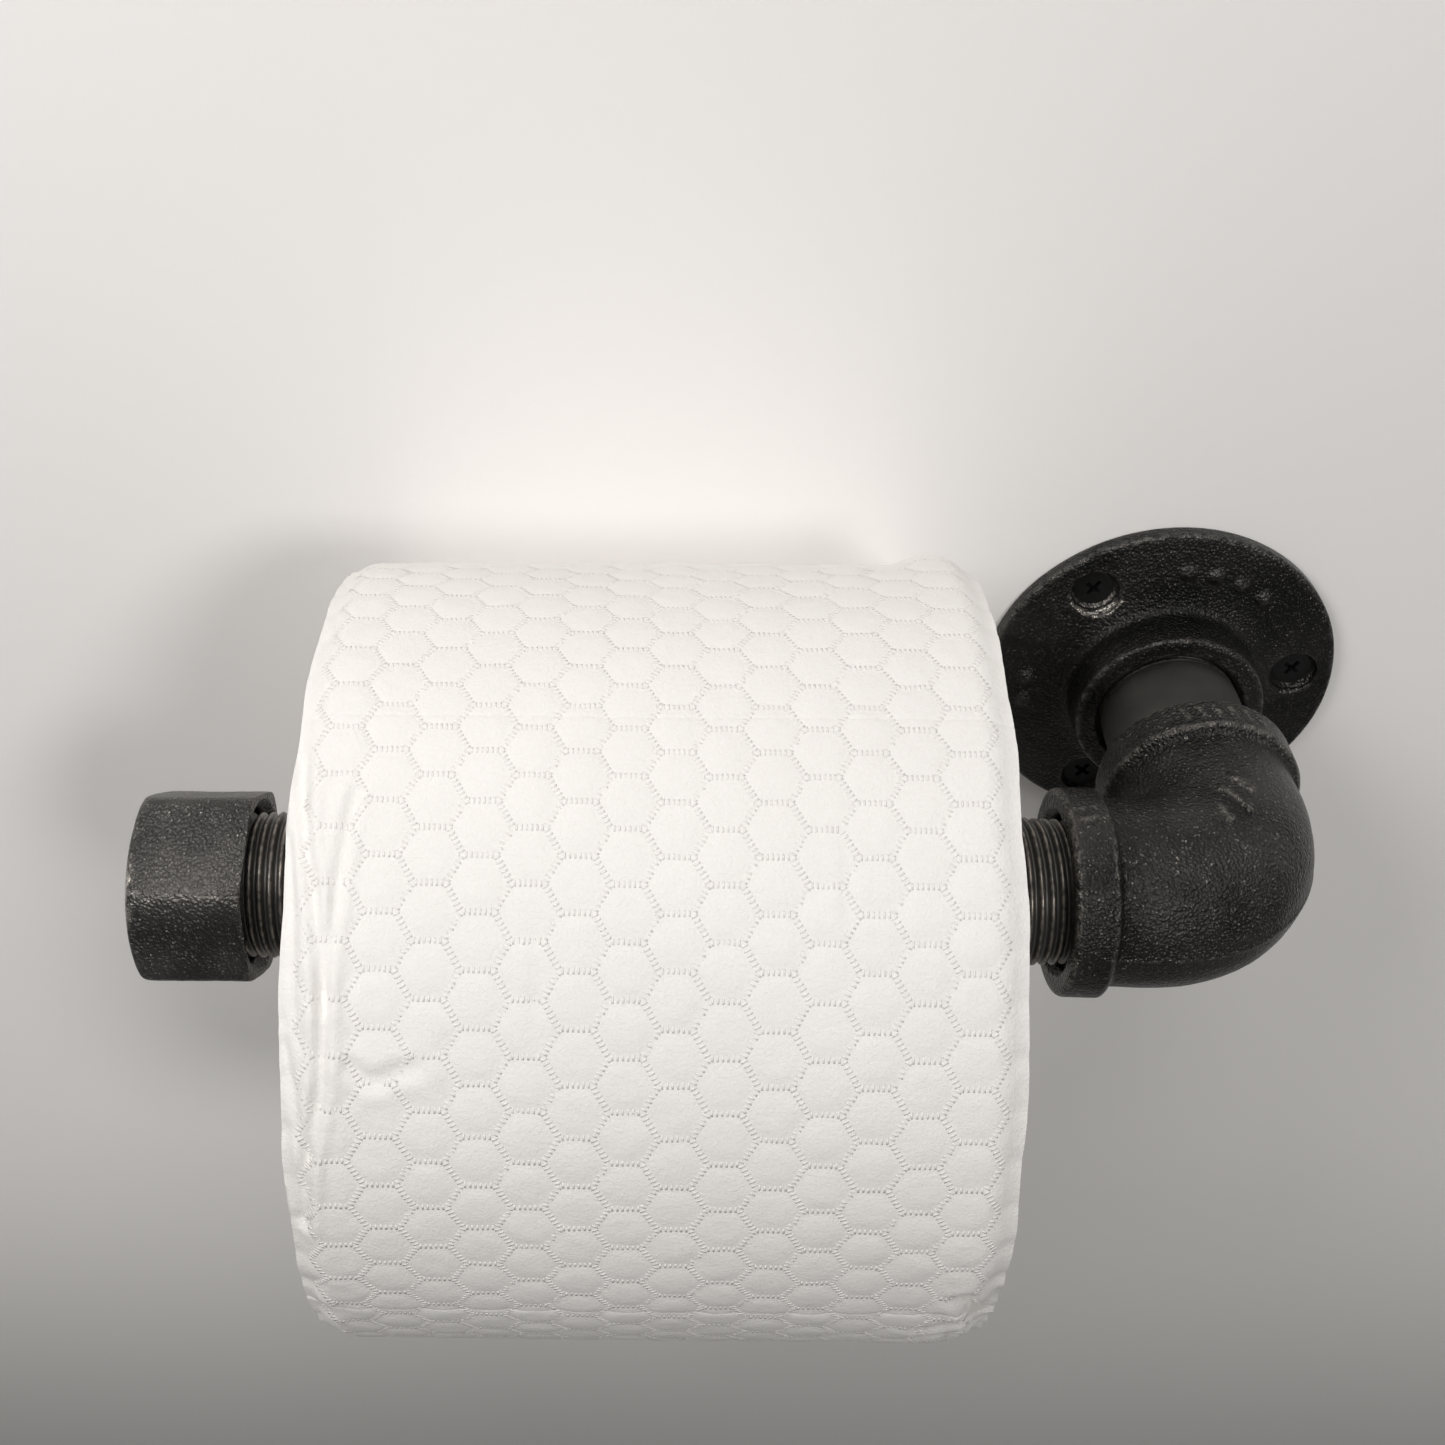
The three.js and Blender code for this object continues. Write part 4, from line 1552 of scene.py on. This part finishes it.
    def outer_turn(self) -> bpy.types.Object:
        """The outermost turn as a thin sheet with a real thickness."""
        xs, ss = self.spacing()
        s, x = np.meshgrid(ss, xs, indexing="ij")
        inset = self.corner - np.sqrt(
            np.maximum(self.corner**2 - np.maximum(self.corner - s, 0.0) ** 2, 0.0)
        )
        x = np.where(x > self.width / 2, np.minimum(x, self.width - inset + (x - self.width) * 0.02), x)
        height = self.height(x, s)
        top = self.place(x, s, height)
        under = self.place(x, s, height - self.ply)
        rows, columns = x.shape
        r, c = np.meshgrid(np.arange(rows - 1), np.arange(columns - 1), indexing="ij")
        near, far = r * columns + c, (r + 1) * columns + c
        quad = np.stack([near, near + 1, far + 1, far], -1).reshape(-1, 4)
        lower = quad[:, ::-1] + rows * columns
        rim = list(range(columns))
        rim += [k * columns + columns - 1 for k in range(1, rows)]
        rim += [(rows - 1) * columns + k for k in range(columns - 2, -1, -1)]
        rim += [k * columns for k in range(rows - 2, 0, -1)]
        rim = np.array(rim)
        ahead = np.roll(rim, -1)
        wall = np.stack([ahead, rim, rim + rows * columns, ahead + rows * columns], -1)
        points = np.concatenate([top.reshape(-1, 3), under.reshape(-1, 3)])
        return make_object("outer_turn", points, np.concatenate([quad, lower, wall]), 70.0)

    def hexagon_edges(self) -> bpy.types.Mesh:
        """The flat pattern of hexagon edges that the ticks cross, each edge trimmed at its ends."""
        pitch_x, pitch_s = 1.5 * self.cell, math.sqrt(3) * self.cell
        points = []
        trim, margin = 0.1, 0.8
        first_row, last_row = 1.5, self.length - self.end_gap - 1.5
        turns = [math.radians(a) for a in (0, 60, 120, 180)]
        for column in range(int(self.width / pitch_x) + 2):
            for row in range(int(self.length / pitch_s) + 2):
                centre = np.array([column * pitch_x, row * pitch_s + (column % 2) * pitch_s / 2])
                corners = [centre + self.cell * np.array([math.cos(a), math.sin(a)]) for a in turns]
                for first, last in zip(corners, corners[1:]):
                    ends = first + (last - first) * trim, last + (first - last) * trim
                    across = all(margin < end[0] < self.width - margin for end in ends)
                    if across and all(first_row < end[1] < last_row for end in ends):
                        points += ends
        mesh = bpy.data.meshes.new("hexagon_edges")
        flat = [(p[0] * MM, p[1] * MM, 0.0) for p in points]
        mesh.from_pydata(flat, [(k, k + 1) for k in range(0, len(flat), 2)], [])
        return mesh

    def ticks(self, material: bpy.types.Material) -> bpy.types.Object:
        """The short embossed ticks across the hexagons' edges, laid on the outermost turn."""
        values = {
            "Ticks Per Edge": 6,
            "Tick Length": 1.35 * MM,
            "Tick Width": 0.46 * MM,
            "Tick Height": 0.046 * MM,
            "Material": material,
        }
        mesh = run_tree("emboss_ticks", self.hexagon_edges(), emboss_tree(), values)
        flat = np.empty(len(mesh.vertices) * 3)
        mesh.vertices.foreach_get("co", flat)
        x, s, proud = (flat.reshape(-1, 3) / MM).T
        points = self.place(x, s, self.height(x, s) + proud)
        mesh.vertices.foreach_set("co", (points * MM).ravel())
        mesh.update()
        return show("emboss_ticks", mesh, 180.0)

    def wound_paper(self) -> bpy.types.Object:
        """The wound turns under the outermost one, with every turn's edge showing at both ends."""
        inner, outer = self.core_radius + 0.25, self.outer - self.rise - self.ply - 0.15
        turn = self.turn
        layers = int((outer - inner) / turn)
        end = []
        for k in range(layers):
            at = inner + (outer - inner) * k / layers
            end += [(0.22, at), (0.0, at + turn * 0.3), (0.0, at + turn * 0.75)]
        left = [(x, r) for x, r in end] + [(0.3, outer)]
        sides = [(x, outer) for x in np.arange(5.0, self.width - 4.5, 4.0)]
        right = [(self.width - x, r) for x, r in reversed(left)]
        bore = [(x, inner) for x in np.arange(self.width - 4.0, 1.0, -6.0)]
        profile = np.array(left + sides + right + bore)
        axis = axis_from((self.left, self.centre[1], self.centre[2]), (1, 0, 0), (0, 0, 1))
        angles = np.linspace(0.0, TURN, 144, endpoint=False)
        length, angle = np.meshgrid(profile[:, 0], angles, indexing="ij")
        radius = np.broadcast_to(profile[:, 1:2], length.shape).copy()
        spiral = smoothstep(inner, inner + 2, radius) * (1 - smoothstep(outer - 2, outer, radius))
        radius += spiral * turn * angle / TURN
        near_end = 1 - smoothstep(0.0, 2.0, np.minimum(length, self.width - length))
        around = np.stack([np.cos(angle), np.sin(angle)], -1)
        ply = field_noise(np.concatenate([radius[..., None] * 1.9, 3.0 * around], -1), 1.3, 5.0)
        dish = field_noise(np.concatenate([radius[..., None] * 0.5, 14 * around], -1), 11.0, 2.0)
        inward = np.where(length < self.width / 2, 1.0, -1.0)
        rounded = 4.0 * smoothstep(outer - 2.3, outer + 0.2, radius)
        length = length + inward * near_end * (0.45 + 0.35 * ply + 0.3 * dish + rounded)
        points = axis.place(length, radius, angle)
        return make_object("wound_paper", points, grid_faces(len(profile), len(angles), True))

    def core(self) -> bpy.types.Object:
        """The cardboard core, with the step of its spiral winding inside and out."""
        outer, inner = self.core_radius, self.core_radius - 1.0
        corners = ((0, inner), (0, outer), (self.width, outer), (self.width, inner))
        profile = rounded_profile([(x, r, 0.25) for x, r in corners], 1.2, loop=True)

        def winding(length: np.ndarray, radius: np.ndarray, angle: np.ndarray) -> np.ndarray:
            """Presses a narrow helical seam into the board."""
            pitch = 62.0
            phase = (length / pitch + angle / TURN) % 1.0
            seam = np.exp(-(((phase - 0.5) / 0.012) ** 2))
            side = np.where(radius < (inner + outer) / 2, 1.0, -1.0)
            return radius + side * 0.14 * seam

        axis = axis_from((self.left, self.centre[1], self.centre[2]), (1, 0, 0), (0, 0, 1))
        return turned("roll_core_board", axis, profile, 160, True, winding)

    def dress_all(
        self, tissue: bpy.types.Material, layers: bpy.types.Material, board: bpy.types.Material
    ) -> None:
        """Builds and dresses the core, the wound paper, the outermost turn and its embossing."""
        dress(self.core(), board, Body.CORE, ["roll_core"])
        wound = dress(self.wound_paper(), layers, Body.ROLL, ["paper_roll"])
        outer_turn = dress(self.outer_turn(), tissue, Body.ROLL)
        ticks = dress(self.ticks(tissue), tissue, Body.ROLL)


# ---------------------------------------------------------------------------------------------
# Stage, light and camera


@dataclass(frozen=True)
class Stage:
    """A pale wall behind the holder and a pale floor well below it, in metres.

    Args:
        half: half the wall's width.
        floor_drop: how far the floor lies below the holder.
        top: the wall's height above the holder.
        front: how far the floor reaches into the room.
        back: how far it reaches past the wall.
        shade: how light the wall's lower part is, against its upper part.
        shade_low: height where the wall is darkest.
        shade_high: height where it reaches its full colour.
    """

    half: float = 1.6
    floor_drop: float = 1.0
    top: float = 1.3
    front: float = -2.4
    back: float = 1.2
    # shade: how light the painted shade leaves the wall's lower part, against its upper part.
    shade: float = 0.5
    # shade_low: height where the wall's painted shade is darkest.
    shade_low: float = -0.34
    shade_high: float = -0.13

    def material(self, name: str, colour: Colour, is_wall: bool) -> bpy.types.Material:
        """Builds a matt paint.

        Args:
            name: the material's name.
            colour: the paint's colour.
            is_wall: whether it gets a painted shade that darkens it downwards, and lets light and sight
                through from behind.
        """
        material, canvas, shader = new_material(name)
        place = canvas.node("ShaderNodeTexCoord").outputs["Object"]
        roller = canvas.node("ShaderNodeTexNoise", {"Vector": place, "Scale": 320.0, "Detail": 2.0})
        inputs = {"Height": roller.outputs[0], "Strength": 0.12, "Distance": 0.0004}
        bump = canvas.node("ShaderNodeBump", inputs)
        canvas.feed(shader.inputs["Normal"], bump.outputs[0])
        shader.inputs["Base Color"].default_value = colour
        shader.inputs["Roughness"].default_value = 0.75
        if is_wall:
            # Painted shade: the wall's colour is darkened towards its bottom, standing in for the light
            # falling off there.
            height = canvas.node("ShaderNodeSeparateXYZ", {0: place}).outputs["Z"]
            shade = tuple(self.shade * channel for channel in colour[:3]) + (1.0,)
            climb = canvas.ramp(height, self.shade_low, self.shade_high)
            graded = canvas.blend(climb, shade, colour)
            canvas.feed(shader.inputs["Base Color"], graded)
            clear = canvas.node("ShaderNodeBsdfTransparent")
            back = canvas.node("ShaderNodeNewGeometry").outputs["Backfacing"]
            shadow = canvas.node("ShaderNodeLightPath").outputs["Is Shadow Ray"]
            hidden = canvas.math("MAXIMUM", back, shadow)
            inputs = {0: hidden, 1: shader.outputs[0], 2: clear.outputs[0]}
            mixed = canvas.node("ShaderNodeMixShader", inputs)
            canvas.feed(material.node_tree.nodes["Material Output"].inputs["Surface"], mixed.outputs[0])
        return material

    def panel(self, name: str, corners: Sequence[Sequence[float]], material: bpy.types.Material) -> None:
        """Adds one flat stage panel."""
        mesh = bpy.data.meshes.new(name)
        mesh.from_pydata([tuple(c) for c in corners], [], [(0, 1, 2, 3)])
        panel = bpy.data.objects.new(name, mesh)
        bpy.context.scene.collection.objects.link(panel)
        mesh.materials.append(material)

    def build(self) -> None:
        """Builds the wall and the floor."""
        low = CAD_BOX[0].z - self.floor_drop
        high, half = CAD_BOX[1].z + self.top, self.half
        wall = self.material("wall_paint", (0.95, 0.93, 0.912, 1), True)
        floor = self.material("floor_paint", (0.55, 0.54, 0.53, 1), False)
        self.panel("wall", [(-half, 0, low), (half, 0, low), (half, 0, high), (-half, 0, high)], wall)
        sides = ((-half, self.front), (half, self.front), (half, self.back), (-half, self.back))
        self.panel("floor", [(x, y, low) for x, y in sides], floor)


@dataclass(frozen=True)
class SoftLight:
    """One soft round light.

    Args:
        name: the light's name.
        place: where it stands, in metres.
        aim: what it points at, in metres.
        size: its width, in metres.
        watts: its power.
        colour: its colour.
    """

    name: str
    place: tuple[float, float, float]
    aim: tuple[float, float, float]
    size: float
    watts: float
    colour: tuple[float, float, float] = (1.0, 1.0, 1.0)

    def build(self) -> None:
        """Adds the light to the scene."""
        data = bpy.data.lights.new(self.name, "AREA")
        data.shape = "DISK"
        data.size = self.size
        data.energy = self.watts
        data.color = self.colour
        light = bpy.data.objects.new(self.name, data)
        bpy.context.scene.collection.objects.link(light)
        light.location = self.place
        towards = Vector(self.aim) - Vector(self.place)
        light.rotation_euler = towards.to_track_quat("-Z", "Y").to_euler()


LIGHTS = (
    SoftLight("key", (-0.44, -0.37, 0.42), (-0.1, -0.05, 0.0), 0.3, 1.75, (1.0, 0.985, 0.97)),
    SoftLight("top", (-0.05, -0.46, 1.0), (-0.1, -0.05, 0.0), 0.4, 2.1, (1.0, 0.99, 0.975)),
    SoftLight("front_fill", (0.35, -1.0, 0.5), (-0.05, -0.05, 0.0), 0.28, 3.6, (1.0, 0.985, 0.965)),
    SoftLight("behind", (0.3, 1.0, -0.3), (-0.08, -0.05, 0.0), 0.8, 3.0),
)


ROOM_LIGHT = 0.15
"""Strength of the even light in the room."""


def set_world(strength: float) -> None:
    """Fills the room with an even, pale light, and shows colours as they are."""
    world = bpy.data.worlds.new("room")
    world.use_nodes = True
    background = world.node_tree.nodes["Background"]
    background.inputs["Color"].default_value = (1.0, 0.995, 0.985, 1.0)
    background.inputs["Strength"].default_value = strength
    bpy.context.scene.world = world
    bpy.context.scene.view_settings.view_transform = "Standard"


@dataclass(frozen=True)
class Camera:
    """The camera, from its place, its angles and its lens.

    Args:
        place: where it stands, in mm.
        yaw: turn to the right of straight at the wall, in radians.
        pitch: tilt above level, in radians.
        roll: turn about its own line of sight, in radians.
        lens: focal length on a sensor 36 mm wide.
        shift: the lens's shift along the picture's width and height.
    """

    place: tuple[float, float, float] = (-102.7, -288.7, 218.5)
    yaw: float = -0.021
    pitch: float = -0.630
    roll: float = -0.006
    lens: float = 43.91
    shift: tuple[float, float] = (0.0703, -0.0593)

    def build(self) -> None:
        """Adds the camera and makes it the scene's."""
        data = bpy.data.cameras.new("camera")
        data.sensor_width = 36.0
        data.lens = self.lens
        data.shift_x, data.shift_y = self.shift
        data.clip_start, data.clip_end = 0.01, 20.0
        ahead = Vector(
            (
                math.sin(self.yaw) * math.cos(self.pitch),
                math.cos(self.yaw) * math.cos(self.pitch),
                math.sin(self.pitch),
            )
        )
        level = Vector((math.cos(self.yaw), -math.sin(self.yaw), 0.0))
        above = level.cross(ahead)
        right = level * math.cos(self.roll) + above * math.sin(self.roll)
        up = above * math.cos(self.roll) - level * math.sin(self.roll)
        turn = Matrix((right, up, -ahead)).transposed().to_4x4()
        camera = bpy.data.objects.new("camera", data)
        bpy.context.scene.collection.objects.link(camera)
        camera.matrix_world = Matrix.Translation(Vector(self.place) * MM) @ turn
        bpy.context.scene.camera = camera


# ---------------------------------------------------------------------------------------------


def main() -> None:
    """Builds every sub-assembly, the stage, the light and the camera."""
    logging.basicConfig(level=logging.INFO, format="%(name)s: %(message)s")
    Camera().build()
    for make_group in (cast_grain_group, edge_wear_group, fibre_group):
        make_group()
    WallFlange().dress_all(FLANGE_IRON_SHADED.material(), BLACK_SCREW.material(), NYLON.material())
    Pipes().dress_all(BLACK_PIPE.material())
    Elbow().dress_all(CAST_IRON.material())
    HexCap().dress_all(CAP_IRON.material())
    PaperRoll().dress_all(TISSUE.material(), TISSUE_LAYERS.material(), BOARD.material())
    Stage().build()
    for light in LIGHTS:
        light.build()
    set_world(ROOM_LIGHT)


if __name__ == "__main__":
    main()
